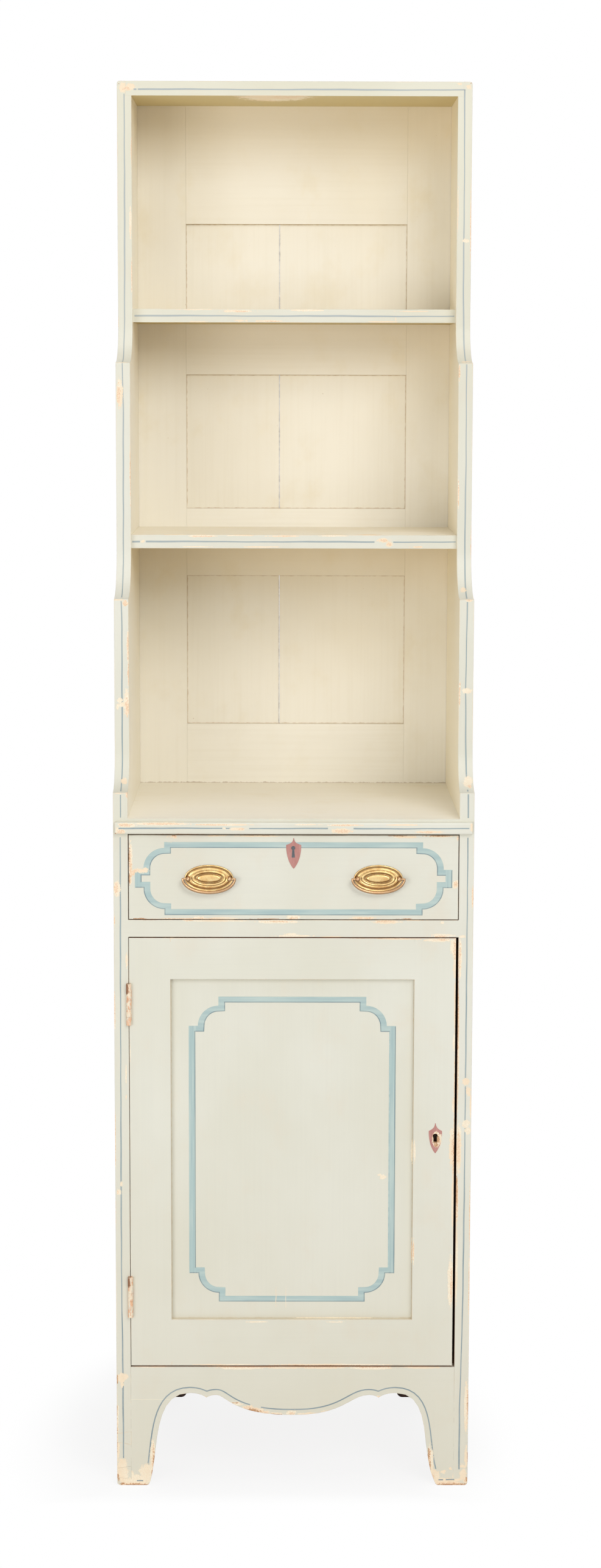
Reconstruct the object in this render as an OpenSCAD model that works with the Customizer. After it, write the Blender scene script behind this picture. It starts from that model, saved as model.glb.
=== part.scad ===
// Tall painted bookcase: three open tiers that step back over a base with one drawer and one door.
// Sizes are in millimetres. Z is up from the floor, X runs to the right and Y to the back.

/* [Carcass] */
// Width over the two side boards
width = 508; // [470:1:600]
// Height to the top of the top board
height = 2012; // [1960:1:2150]
// Depth of the side boards at the base
depth = 388; // [360:1:450]
// Thickness of the side boards
side_t = 20.5; // [17:0.5:24]
// Thickness of the top board
top_t = 20.5; // [16:0.5:26]
// Rounding of the side boards' outer top edge
top_round = 4; // [1:0.5:6]
// Depth of the housings that the boards sit in
housing_d = 8; // [4:0.5:11]

/* [Stepped front] */
// Setback of the lower tier's front edge
setback_low = 54; // [40:1:65]
// Setback of the middle tier's front edge
setback_mid = 131.5; // [115:0.5:145]
// Setback of the upper tier's front edge
setback_top = 207; // [190:1:230]
// Rise of the lowest shoulder above the waist board's top face
shoulder_low_rise = 37; // [22:1:60]
// Drop of the middle shoulder below the lower shelf's top face
shoulder_mid_drop = 86; // [70:1:105]
// Drop of the highest shoulder below the upper shelf's top face
shoulder_top_drop = 77.5; // [65:0.5:100]
// Rise of the hollow above the lowest shoulder
cove_low = 51; // [30:1:60]
// Rise of the hollow above the middle shoulder
cove_mid = 63; // [40:1:65]
// Rise of the hollow above the highest shoulder
cove_top = 53; // [30:1:56]

/* [Shelves] */
// Thickness of the two shelves
shelf_t = 19.3; // [14:0.1:24]
// Clear height of the upper tier, below the top board
tier_top_h = 300.5; // [280:0.5:330]
// Clear height of the middle tier, between the two shelves
tier_mid_h = 302.7; // [280:0.1:330]
// Setback of the lower shelf from the front edge there
shelf_low_inset = 8; // [2:1:20]
// Setback of the upper shelf from the front edge there
shelf_high_inset = 18; // [2:1:30]
// Height of the waist board's top face
waist_top = 978; // [974:1:984]
// Thickness of the waist board
waist_t = 20.5; // [18:0.5:24]

/* [Waist moulding] */
// Height of the moulding
strip_h = 17; // [12:1:19]
// Thickness of the moulding
strip_t = 8; // [5:0.5:10]
// Drop of the moulding below the waist board's top
strip_drop = 4; // [1:0.5:5]
// Distance of the moulding's end from the side's outer face
strip_end = 2.7; // [0.5:0.1:6]
// Rounding of the moulding's front edges
strip_round = 3; // [1:0.5:4.5]

/* [Base] */
// Height of the drawer's opening
drawer_open_h = 124; // [112:0.5:140]
// Height of the drawer rail's front edge
rail_h = 24.5; // [18:0.5:30]
// Depth of the drawer rail
rail_d = 62; // [50:1:90]
// Height of the bottom board's top face
bottom_top = 178; // [165:1:190]
// Thickness of the bottom board
bottom_t = 19; // [15:0.5:22]
// Height of the cupboard shelf's top face
cupboard_shelf_top = 470; // [400:1:560]
// Thickness of the cupboard shelf
cupboard_shelf_t = 16; // [12:0.5:20]
// Setback of the cupboard shelf from the base front
cupboard_shelf_inset = 45; // [30:1:90]
// Gap between the cupboard shelf and each side board
cupboard_shelf_gap = 0.5; // [0.3:0.1:1.5]
// Side of the square battens under the cupboard shelf
batten_w = 20; // [14:1:26]
// Width of a drawer runner
runner_w = 25; // [20:1:36]
// Height of a drawer runner
runner_h = 20; // [14:1:24]

/* [Apron and feet] */
// Thickness of the apron and the front feet
apron_t = 20; // [16:0.5:24]
// Height of the joint between the apron and the front feet
foot_joint = 129; // [126:0.5:131]
// Rounding of the feet at the floor
foot_round = 5; // [2:0.5:6]
// Spread of each dovetail at its wide end
tail_flare = 3; // [1:0.5:4]
// Width of a rear foot inside the side board
rear_foot_w = 68; // [50:1:90]
// Rounding of a rear foot's lower corner
rear_foot_round = 9; // [4:1:16]
// Width of the side board's front foot
side_foot_front = 82; // [70:1:100]
// Width of the side board's rear foot
side_foot_rear = 84; // [70:1:100]
// Height of the arch in the side board
side_arch_h = 112; // [80:1:125]
// Corner radius of the arch in the side board
side_arch_r = 46; // [20:1:70]
// Side of the square glue blocks
block_w = 22; // [16:1:26]
// Length of the upright glue blocks
block_l = 120; // [80:1:130]
// Length of the glue blocks behind the apron
block_flat_l = 70; // [40:1:90]
// Height of the glue blocks behind the apron
block_flat_h = 17.6; // [12:0.1:22]

/* [Back] */
// Thickness of the back frame
back_t = 16; // [14:0.5:18]
// Width of the rebate that holds the back
rebate_w = 8; // [5:0.5:11]
// Visible width of the left back stile
back_stile_left_w = 72; // [55:1:85]
// Visible width of the right back stile
back_stile_right_w = 64.5; // [55:0.5:85]
// Height of the top back rail
back_rail_top_h = 192.5; // [150:0.5:220]
// Height of the rail behind the upper shelf
back_rail_high_h = 94; // [80:1:110]
// Height of the rail behind the lower shelf
back_rail_mid_h = 101; // [90:1:115]
// Height of the lower shelf's rail above the shelf
back_rail_mid_rise = 27.5; // [15:0.5:35]
// Rise of the waist's rail above the waist board
back_rail_waist_rise = 91; // [75:1:110]
// Height of the waist's rail
back_rail_waist_h = 112; // [90:1:125]
// Height of the lowest back rail
back_rail_low_h = 96; // [80:1:120]
// Thickness of the back panels
back_panel_t = 5; // [4:0.5:6]
// Depth that a panel runs into its grooves
back_groove = 7; // [5:0.5:10]
// Distance of the panels behind the frame's inner face
back_recess = 5; // [3:0.5:6]
// Place of the joint between the panel boards, from the middle
back_joint_x = -21.5; // [-60:0.5:60]
// Gap between the panel boards
back_joint_gap = 0.6; // [0.3:0.1:1]
// Length of a back rail's tenon
back_tenon_l = 26; // [18:1:34]
// Diameter of a nail in the back
nail_d = 3; // [2:0.2:3.6]
// Length of a nail in the back
nail_l = 36; // [28:1:44]
// Distance of the base's outer nails from the boards above and below them
nail_end = 60; // [30:1:120]

/* [Drawer] */
// Gap between the drawer and each side board
drawer_side_gap = 1.2; // [0.8:0.1:3]
// Gap between the drawer front and the moulding above it
drawer_top_gap = 1.7; // [1:0.1:4]
// Gap below the drawer front
drawer_low_gap = 1.2; // [0.8:0.1:2.5]
// Thickness of the drawer front
drawer_front_t = 20; // [17:0.5:24]
// Gap between the drawer and the back
drawer_back_gap = 22; // [17:1:60]
// Thickness of the drawer sides and back
drawer_side_t = 10; // [8:0.5:14]
// Drop of the drawer sides below the drawer front
drawer_side_drop = 8; // [4:1:16]
// Lap of the drawer sides into the drawer front
drawer_lap = 13; // [8:0.5:14]
// Thickness of the drawer bottom
drawer_bottom_t = 6; // [5:0.5:8]
// Height of the drawer bottom above the side's lower edge
drawer_bottom_up = 8; // [7:0.5:12]
// Depth of the drawer bottom's grooves
drawer_groove = 5; // [3:0.5:6]
// Clearance between the drawer and its runners
drawer_run_gap = 0.3; // [0.2:0.05:0.6]
// Height of the drawer stops
stop_h = 5; // [3:0.5:6]
// Width of a drawer stop
stop_w = 44; // [30:1:60]
// Clearance between a part that moves and its stop
stop_gap = 0.3; // [0.2:0.05:0.6]

/* [Handles] */
// Distance of each handle from the middle of the drawer
handle_x = 119.4; // [95:0.1:135]
// Drop of the handles' posts below the middle of the drawer front
handle_drop = 1.5; // [-6:0.5:8]
// Distance between a handle's two posts
post_pitch = 58.4; // [52:0.2:62]
// Width of a handle's oval plate
plate_w = 69; // [64:0.5:72]
// Height of a handle's oval plate
plate_h = 38; // [32:0.5:44]
// Thickness of a handle's plate
plate_t = 1.2; // [0.8:0.1:1.6]
// Height of the raised rim and rings of a plate
plate_relief = 1.6; // [0.8:0.1:2]
// Diameter of a post's ball
ball_d = 6.8; // [6:0.1:8]
// Distance from the drawer front to the balls' middle
post_reach = 9; // [8:0.2:12]
// Diameter of a post's shank
shank_d = 4; // [3:0.2:4.6]
// Width of a handle nut across its flats
nut_w = 9; // [7:0.5:11]
// Height of a handle nut
nut_h = 3.5; // [2.5:0.5:5]
// Diameter of the bail's rod at its lowest point
bail_d = 4.2; // [3.4:0.1:5]
// Distance of the bail's ears outside the posts
ear_out = 7.3; // [6.5:0.1:9]
// Drop of the bail's rod below the posts
bail_drop = 19.4; // [17:0.2:26]
// Diameter of the bail's pivot pins
bail_pin_d = 2.4; // [2:0.1:3]

/* [Door] */
// Gap below the door
door_low_gap = 2.3; // [1.5:0.1:5]
// Gap above the door
door_top_gap = 1.5; // [1:0.1:4]
// Gap between the door and the hinge side
door_hinge_gap = 0.8; // [0.6:0.1:1.6]
// Gap between the door and the lock side
door_lock_gap = 3.5; // [2:0.1:4.5]
// Thickness of the door frame
door_t = 20; // [18:0.5:24]
// Width of the door stiles
door_stile_w = 58.5; // [54:0.5:66]
// Height of the door's top rail
door_rail_top_h = 59.5; // [50:0.5:80]
// Height of the door's bottom rail
door_rail_low_h = 68.5; // [50:0.5:90]
// Thickness of the door panel
door_panel_t = 6.5; // [5:0.5:8]
// Depth of the grooves round the door panel
door_groove = 8; // [5:0.5:10]
// Length of the door rails' tenons
door_tenon_l = 34; // [20:1:40]
// Length of the door stop under the drawer rail
door_stop_l = 46; // [30:1:70]

/* [Hinges] */
// Length of a hinge
hinge_l = 60; // [50:1:70]
// Distance of the upper hinge's middle from the door's upper edge
hinge_high_in = 95.5; // [60:0.5:140]
// Distance of the lower hinge's middle from the door's lower edge
hinge_low_in = 102.7; // [60:0.1:140]
// Diameter of a hinge's barrel
barrel_d = 7.5; // [6.5:0.1:9]
// Diameter of a hinge's pin
hinge_pin_d = 3; // [2.4:0.1:3.6]
// Distance of the hinge's pin in front of the base front
hinge_pin_out = 2.8; // [2:0.1:3.6]
// Thickness of a hinge leaf
leaf_t = 1.6; // [1.2:0.1:2.2]
// Depth of a hinge leaf
leaf_d = 16; // [13:0.5:17]
// Gap between two knuckles
knuckle_gap = 0.2; // [0.1:0.05:0.4]
// Diameter of a hinge screw
hinge_screw_d = 2.8; // [2.2:0.1:3.4]
// Length of a hinge screw
hinge_screw_l = 14; // [11:0.5:16]

/* [Lock] */
// Distance of the keyhole from the door's lock edge
key_in = 27; // [24:0.5:30]
// Height of the keyhole
key_z = 520; // [505:0.5:530]
// Diameter of the keyhole's round end
key_d = 7.5; // [5:0.5:8]
// Length of the keyhole below its middle
key_slot = 10; // [7:0.5:12]
// Width of the lock case
lock_w = 40; // [37:0.5:42]
// Height of the lock case
lock_h = 54; // [50:1:64]
// Thickness of the lock case
lock_t = 10.5; // [9.5:0.5:12]
// Thickness of the lock case's walls
lock_wall = 1.5; // [1:0.1:2]
// Height of the bolt
bolt_h = 11; // [8:0.5:12]
// Thickness of the bolt
bolt_t = 5; // [4:0.5:6]
// Travel of the bolt
bolt_travel = 8; // [6:0.5:9]
// Height of the bolt above the keyhole
bolt_up = 9.5; // [8:0.5:12]
// Clearance round the bolt
bolt_gap = 0.25; // [0.2:0.05:0.4]

/* [Hidden] */
$fn = 48;
EPS = 0.01;
COVE_STEPS = 20;
CURVE_STEPS = 10;
OVAL_STEPS = 48;

PAINT = [0.87, 0.87, 0.80];
INSIDE = [0.90, 0.85, 0.72];
BARE = [0.72, 0.55, 0.36];
DARK = [0.26, 0.16, 0.11];
BRASS = [0.78, 0.62, 0.32];
STEEL = [0.45, 0.44, 0.42];

// Inner faces, back plane and the middle of the whole object's depth
half_in = width / 2 - side_t;
back_y = depth - back_t;
handle_front = post_reach + max(ball_d, bail_d) / 2;
front_reach = max(handle_front, strip_t, hinge_pin_out + barrel_d / 2);
mid_y = (depth - front_reach) / 2;

// Heights that follow from the driving ones
top_low = height - top_t;
shelf_high_top = top_low - tier_top_h;
shelf_low_top = shelf_high_top - shelf_t - tier_mid_h;
shoulder_top = shelf_high_top - shoulder_top_drop;
shoulder_mid = shelf_low_top - shoulder_mid_drop;
shoulder_low = waist_top + shoulder_low_rise;
waist_low = waist_top - waist_t;
rail_top = waist_low - drawer_open_h;
rail_low = rail_top - rail_h;
bottom_low = bottom_top - bottom_t;
door_top = rail_low - door_top_gap;
door_low = bottom_top + door_low_gap;
back_low = bottom_low;
panel_left = -half_in + back_stile_left_w;
panel_right = half_in - back_stile_right_w;

// Outline of the apron and the front feet: distance in from the side's outer face, and height.
// It was cut by hand, so the left and the right half differ a little
foot_in = 47;
foot_pulls = [[[61, 52.5], [50.5, 139]], [[70, 51], [49, 139]]];
lobe_curve = [[105.5, 139], [114, 139], [123, 137], [129.7, 132]];
rise_curve = [[129.7, 132], [134, 135], [139, 136], [144, 136]];
swell_start = [144, 136];
swell_middle = 106;
swell_pulls = [13.5, 26.5];
swell_settles = [86, 74];
foot_reach = 105.5;
// Dovetails of a front foot: lower and upper edge at the narrow end
foot_tails = [[0, 8.9], [28.3, 61.4], [80.6, 117.3]];

// Cubic curve through four control points
function bezier(p, t) = pow(1 - t, 3) * p[0] + 3 * t * pow(1 - t, 2) * p[1]
    + 3 * t * t * (1 - t) * p[2] + pow(t, 3) * p[3];
function curve(p) = [for (i = [0 : CURVE_STEPS]) bezier(p, i / CURVE_STEPS)];
// Quarter hollow that starts level at a shoulder and ends upright
function cove(start, run, rise) = [for (i = [0 : COVE_STEPS]) let (a = 90 * i / COVE_STEPS)
    [start[0] + run * sin(a), start[1] + rise - rise * cos(a)]];
function arc(centre, r, from, to) = [for (i = [0 : CURVE_STEPS])
    let (a = from + (to - from) * i / CURVE_STEPS) centre + r * [cos(a), sin(a)]];
function oval(w, h) = [for (i = [0 : OVAL_STEPS - 1]) let (a = 360 * i / OVAL_STEPS)
    [w / 2 * cos(a), h / 2 * sin(a)]];
function flip(points) = [for (i = [len(points) - 1 : -1 : 0]) [-points[i][0], points[i][1]]];

// Moves a piece from the base front to the object's own middle
module place() translate([0, -mid_y, 0]) children();
// Box from one corner to another
module block(low, high) translate(low) cube(high - low);
// Flat outline of Y and Z, thickened along X from x
module along_x(x, t) translate([x, 0, 0]) rotate([90, 0, 90]) linear_extrude(t) children();
// Flat outline of X and Z, thickened along Y from y
module along_y(y, t) translate([0, y + t, 0]) rotate([90, 0, 0]) linear_extrude(t) children();
module rod_x(x, y, z, l, d) translate([x, y, z]) rotate([0, 90, 0]) cylinder(h = l, d = d);
module rod_y(x, y, z, l, d) translate([x, y, z]) rotate([-90, 0, 0]) cylinder(h = l, d = d);
module both_sides() {
    children();
    mirror([1, 0, 0]) children();
}

// Wood screw along X, with its flat head at the origin
module screw_x(l, d) {
    rotate([0, 90, 0]) cylinder(h = l, d = d);
    rotate([0, 90, 0]) cylinder(h = d / 2, d1 = 2 * d, d2 = d);
}

// Side boards
side_outline = concat([[0, 0]],
    cove([0, shoulder_low], setback_low, cove_low),
    cove([setback_low, shoulder_mid], setback_mid - setback_low, cove_mid),
    cove([setback_mid, shoulder_top], setback_top - setback_mid, cove_top),
    [[setback_top, height], [depth, height], [depth, 0]]);
arch_front = side_foot_front;
arch_rear = depth - side_foot_rear;
arch_outline = concat([[arch_rear, -1]],
    arc([arch_rear - side_arch_r, side_arch_h - side_arch_r], side_arch_r, 0, 90),
    arc([arch_front + side_arch_r, side_arch_h - side_arch_r], side_arch_r, 90, 180),
    [[arch_front, -1]]);
// Housings for the boards: lower face, upper face, front end
housings = [
    [top_low, height + 1, setback_top - 1],
    [shelf_high_top - shelf_t, shelf_high_top, setback_top + shelf_high_inset],
    [shelf_low_top - shelf_t, shelf_low_top, setback_mid + shelf_low_inset],
    [waist_low, waist_top, -1],
    [bottom_low, bottom_top, apron_t]];
rail_shoulder = 5;
rail_tenon_low = rail_low + rail_shoulder;
rail_tenon_top = rail_top - rail_shoulder;

// Dovetails of the left front foot, from the outer face to the foot's own edge
module foot_tail_outlines() {
    for (tail = foot_tails) {
        low = tail[0] > 0 ? tail[0] - tail_flare : 0;
        polygon([[-width / 2, low], [-half_in, tail[0]], [-half_in, tail[1]],
            [-width / 2, tail[1] + tail_flare]]);
    }
}
// What a rounding takes away at the outer corner of a left side board, at the floor or the top
module corner_outline(r) difference() {
    translate([-1, -1]) square(r + 1);
    translate([r, r]) circle(r);
}
module foot_corner_outline() translate([-width / 2, 0]) corner_outline(foot_round);
module top_corner_outline() translate([-width / 2, height]) mirror([0, 1]) corner_outline(top_round);

module side_blank() {
    difference() {
        along_x(-width / 2, side_t) difference() { polygon(side_outline); polygon(arch_outline); }
        for (h = housings)
            block([-half_in - housing_d, h[2], h[0]], [-half_in + 1, back_y, h[1]]);
        block([-half_in - housing_d, -1, rail_tenon_low], [-half_in + 1, rail_d, rail_tenon_top]);
        block([-half_in - rebate_w, back_y, -1], [-half_in + 1, depth + 1, height + 1]);
        along_y(-1, apron_t + 1) foot_tail_outlines();
        along_y(-1, depth + 2) foot_corner_outline();
        along_y(-1, depth + 2) top_corner_outline();
        nail_shanks_left();
    }
}

module side_left() place() color(PAINT) difference() {
    side_blank();
    for (z = [hinge_low, hinge_high]) {
        leaf_recess(-half_in - leaf_t, z);
        barrel_relief(z);
        for (s = screw_heights(z)) translate([-half_in, leaf_screw_y, s]) mirror([1, 0, 0])
            screw_x(hinge_screw_l, hinge_screw_d);
    }
}

module side_right() place() color(PAINT) difference() {
    mirror([1, 0, 0]) side_blank();
    bolt_channel(half_in - 1, half_in + bolt_travel - door_lock_gap + mortise_deep, mortise_gap);
}

// Boards between the sides
module housed_board(h, front)
    block([-half_in - housing_d, front, h[0]], [half_in + housing_d, back_y, h[1]]);
module top_board() place() color(PAINT)
    block([-half_in - housing_d, setback_top, top_low], [half_in + housing_d, back_y, height]);
module shelf_upper() place() color(INSIDE) housed_board(housings[1], housings[1][2]);
module shelf_lower() place() color(INSIDE) housed_board(housings[2], housings[2][2]);
module waist_board() place() color(INSIDE) housed_board(housings[3], 0);
module bottom_board() place() color(BARE) housed_board(housings[4], apron_t);

// Moulding planted on the front of the waist
strip_top = waist_top - strip_drop;
strip_low = strip_top - strip_h;
module waist_moulding() place() color(PAINT) along_x(-width / 2 + strip_end, width - 2 * strip_end)
    polygon(concat([[0, strip_low]],
        arc([-strip_t + strip_round, strip_low + strip_round], strip_round, 270, 180),
        arc([-strip_t + strip_round, strip_top - strip_round], strip_round, 180, 90),
        [[0, strip_top]]));

// Rail, runners and stops under the drawer
stop_set_in = 12;
module drawer_rail() place() color(PAINT) {
    block([-half_in, 0, rail_low], [half_in, rail_d, rail_top]);
    block([-half_in - housing_d, 0, rail_tenon_low], [half_in + housing_d, rail_d, rail_tenon_top]);
}
module runner()
    block([-half_in, rail_d, rail_top - runner_h], [-half_in + runner_w, back_y, rail_top]);
module drawer_runner_left() place() color(BARE) runner();
module drawer_runner_right() place() color(BARE) mirror([1, 0, 0]) runner();
module drawer_stops() place() color(BARE) both_sides()
    block([-handle_x - stop_w / 2, drawer_front_t + stop_gap, rail_top],
        [-handle_x + stop_w / 2, rail_d - stop_set_in, rail_top + stop_h]);

// Cupboard shelf on its battens, and the stop that the door closes on
cupboard_shelf_low = cupboard_shelf_top - cupboard_shelf_t;
batten_front = 10;
batten_back = 6;
module cupboard_shelf() place() color(BARE)
    block([-half_in + cupboard_shelf_gap, cupboard_shelf_inset, cupboard_shelf_low],
        [half_in - cupboard_shelf_gap, back_y, cupboard_shelf_top]);
module batten()
    block([-half_in, cupboard_shelf_inset + batten_front, cupboard_shelf_low - batten_w],
        [-half_in + batten_w, back_y - batten_back, cupboard_shelf_low]);
module shelf_batten_left() place() color(BARE) batten();
module shelf_batten_right() place() color(BARE) mirror([1, 0, 0]) batten();
door_stop_in = 22;
door_stop_w = 18;
door_stop_h = 14;
module door_stop() place() color(BARE)
    block([half_in - door_stop_in - door_stop_l, door_t + stop_gap, rail_low - door_stop_h],
        [half_in - door_stop_in, door_t + stop_gap + door_stop_w, rail_low]);

// Apron and front feet, cut from one outline
function foot_curve(hand) = [[foot_in + 1, foot_round + 1], foot_pulls[hand][0],
    foot_pulls[hand][1], lobe_curve[0]];
function swell_curve(hand) = [swell_start, [swell_start[0] + swell_pulls[hand], swell_start[1]],
    [width / 2 - swell_settles[hand], swell_middle - 1], [width / 2, swell_middle]];
function foot_edge(hand) = concat([[foot_in - foot_round, 0]],
    arc([foot_in - foot_round, foot_round], foot_round, 280, 345),
    curve(foot_curve(hand)), curve(lobe_curve), curve(rise_curve), curve(swell_curve(hand)));
function left_edge(hand) = [for (p = foot_edge(hand)) [p[0] - width / 2, p[1]]];
module front_outline(left, right) polygon(concat([[-half_in, bottom_top], [-half_in, 0]],
    left_edge(left), flip(left_edge(right)), [[half_in, 0], [half_in, bottom_top]]));
module foot_area()
    translate([-half_in - EPS, -1]) square([foot_reach - side_t + EPS, foot_joint + 1]);
module apron() place() color(PAINT) along_y(0, apron_t) difference() {
    front_outline(0, 1);
    both_sides() foot_area();
}
module front_foot(hand) along_y(0, apron_t) difference() {
    union() {
        intersection() { front_outline(hand, hand); foot_area(); }
        foot_tail_outlines();
    }
    foot_corner_outline();
}
module front_foot_left() place() color(PAINT) front_foot(0);
module front_foot_right() place() color(PAINT) mirror([1, 0, 0]) front_foot(1);

// Rear feet in the rebates below the back
rear_foot_edge = -half_in + rear_foot_w;
rear_foot_taper = 6;
module rear_foot() along_y(back_y, back_t) polygon(concat(
    [[-half_in - rebate_w, back_low], [-half_in - rebate_w, 0]],
    arc([rear_foot_edge - rear_foot_round, rear_foot_round], rear_foot_round, 270, 360),
    [[rear_foot_edge + rear_foot_taper, back_low]]));
module rear_foot_left() place() color(DARK) rear_foot();
module rear_foot_right() place() color(DARK) mirror([1, 0, 0]) rear_foot();

// Glue blocks in the corners of the base
block_flat_in = 70;
module corner_block(y) block([-half_in, y, bottom_low - block_l],
    [-half_in + block_w, y + block_w, bottom_low]);
module glue_blocks() place() color(BARE) both_sides() {
    corner_block(apron_t);
    corner_block(back_y - block_w);
    block([-half_in + block_flat_in, apron_t, bottom_low - block_flat_h],
        [-half_in + block_flat_in + block_flat_l, apron_t + block_w, bottom_low]);
}

// Back frame: rails from the lower to the upper face
back_rails = [
    [back_low, back_low + back_rail_low_h],
    [waist_top + back_rail_waist_rise - back_rail_waist_h, waist_top + back_rail_waist_rise],
    [shelf_low_top + back_rail_mid_rise - back_rail_mid_h, shelf_low_top + back_rail_mid_rise],
    [shelf_high_top - back_rail_high_h, shelf_high_top],
    [height - back_rail_top_h, height]];
groove_y = back_y + back_recess;
module back_panel(i) {
    low = back_rails[i][1] - back_groove;
    high = back_rails[i + 1][0] + back_groove;
    block([panel_left - back_groove, groove_y, low],
        [back_joint_x - back_joint_gap / 2, groove_y + back_panel_t, high]);
    block([back_joint_x + back_joint_gap / 2, groove_y, low],
        [panel_right + back_groove, groove_y + back_panel_t, high]);
}
// Grooves of the whole frame, which take in the joint between the boards too
module back_grooves() for (i = [0 : len(back_rails) - 2])
    block([panel_left - back_groove, groove_y, back_rails[i][1] - back_groove],
        [panel_right + back_groove, groove_y + back_panel_t, back_rails[i + 1][0] + back_groove]);
module back_tenon(i) block(
    [panel_left - back_tenon_l, groove_y, back_rails[i][0] + back_groove],
    [panel_right + back_tenon_l, groove_y + back_panel_t, back_rails[i][1] - back_groove]);
module back_rail(i) difference() {
    union() {
        block([panel_left, back_y, back_rails[i][0]], [panel_right, depth, back_rails[i][1]]);
        back_tenon(i);
    }
    back_grooves();
}
module back_stile(x0, x1) difference() {
    block([x0, back_y, back_low], [x1, depth, height]);
    back_grooves();
    for (i = [0 : len(back_rails) - 1]) back_tenon(i);
    both_sides() nail_shanks_left();
}
module back_stile_left() place() color(INSIDE) back_stile(-half_in - rebate_w, panel_left);
module back_stile_right() place() color(INSIDE) back_stile(panel_right, half_in + rebate_w);
module back_rail_bottom() place() color(INSIDE) back_rail(0);
module back_rail_waist() place() color(INSIDE) back_rail(1);
module back_rail_lower() place() color(INSIDE) back_rail(2);
module back_rail_upper() place() color(INSIDE) back_rail(3);
module back_rail_top() place() color(INSIDE) back_rail(4);
module back_panel_base() place() color(INSIDE) back_panel(0);
module back_panel_lower() place() color(INSIDE) back_panel(1);
module back_panel_middle() place() color(INSIDE) back_panel(2);
module back_panel_upper() place() color(INSIDE) back_panel(3);

// Nails that hold the back stiles in the rebates, between the boards that the sides house
nail_x = -half_in - rebate_w / 2;
nail_heights = [bottom_top + nail_end, (bottom_top + waist_low) / 2, waist_low - nail_end,
    (waist_top + shelf_low_top - shelf_t) / 2, (shelf_low_top + shelf_high_top - shelf_t) / 2,
    (shelf_high_top + top_low) / 2];
module nail_shanks_left() for (z = nail_heights)
    rod_y(nail_x, depth - nail_l, z, nail_l, nail_d);
module back_nails() place() color(STEEL) both_sides() nail_shanks_left();

// Butt hinges between the left side board and the door
hinge_high = door_top - hinge_high_in;
hinge_low = door_low + hinge_low_in;
hinge_x = -half_in + door_hinge_gap / 2;
door_left = -half_in + door_hinge_gap;
door_right = half_in - door_lock_gap;
knuckles = 5;
knuckle_pitch = hinge_l / knuckles;
leaf_screw_y = leaf_d * 0.6;
leaf_screw_pitch = hinge_l * 0.35;
pin_fit = 0.05;
barrel_gap = 0.35;
function screw_heights(z) = [for (i = [-1 : 1]) z + i * leaf_screw_pitch];
function knuckle_low(z, i) = z - hinge_l / 2 + i * knuckle_pitch + knuckle_gap / 2;
module leaf_recess(x, z) block([x, -1, z - hinge_l / 2], [x + leaf_t, leaf_d, z + hinge_l / 2]);
module barrel_relief(z) translate([hinge_x, -hinge_pin_out, z - hinge_l / 2])
    cylinder(h = hinge_l, d = barrel_d + 2 * barrel_gap);
// Leaf whose knuckles start at the given one, with the other leaf's knuckles cut clear
module hinge_leaf(x, z, first) difference() {
    union() {
        difference() {
            block([x, -hinge_pin_out / 2, z - hinge_l / 2], [x + leaf_t, leaf_d, z + hinge_l / 2]);
            for (i = [1 - first : 2 : knuckles - 1])
                translate([hinge_x, -hinge_pin_out, knuckle_low(z, i) - knuckle_gap])
                    cylinder(h = knuckle_pitch + knuckle_gap, d = barrel_d + 2 * barrel_gap);
        }
        for (i = [first : 2 : knuckles - 1])
            translate([hinge_x, -hinge_pin_out, knuckle_low(z, i)])
                cylinder(h = knuckle_pitch - knuckle_gap, d = barrel_d);
    }
    translate([hinge_x, -hinge_pin_out, z - hinge_l / 2 - 1])
        cylinder(h = hinge_l + 2, d = hinge_pin_d + 2 * pin_fit);
}
module case_leaf(z) difference() {
    hinge_leaf(-half_in - leaf_t, z, 0);
    for (s = screw_heights(z)) translate([-half_in, leaf_screw_y, s]) mirror([1, 0, 0])
        screw_x(hinge_screw_l, hinge_screw_d);
}
module door_leaf(z) difference() {
    hinge_leaf(door_left, z, 1);
    for (s = screw_heights(z)) translate([door_left, leaf_screw_y, s])
        screw_x(hinge_screw_l, hinge_screw_d);
}
module hinge_upper_case_leaf() place() color(PAINT) case_leaf(hinge_high);
module hinge_lower_case_leaf() place() color(PAINT) case_leaf(hinge_low);
module hinge_upper_door_leaf() place() color(PAINT) door_leaf(hinge_high);
module hinge_lower_door_leaf() place() color(PAINT) door_leaf(hinge_low);
module hinge_pins() place() color(STEEL) for (z = [hinge_low, hinge_high])
    translate([hinge_x, -hinge_pin_out, z - hinge_l / 2]) cylinder(h = hinge_l, d = hinge_pin_d);
module hinge_screws_case() place() color(STEEL) for (z = [hinge_low, hinge_high])
    for (s = screw_heights(z)) translate([-half_in, leaf_screw_y, s]) mirror([1, 0, 0])
        screw_x(hinge_screw_l, hinge_screw_d);
module hinge_screws_door() place() color(STEEL) for (z = [hinge_low, hinge_high])
    for (s = screw_heights(z)) translate([door_left, leaf_screw_y, s])
        screw_x(hinge_screw_l, hinge_screw_d);

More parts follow.
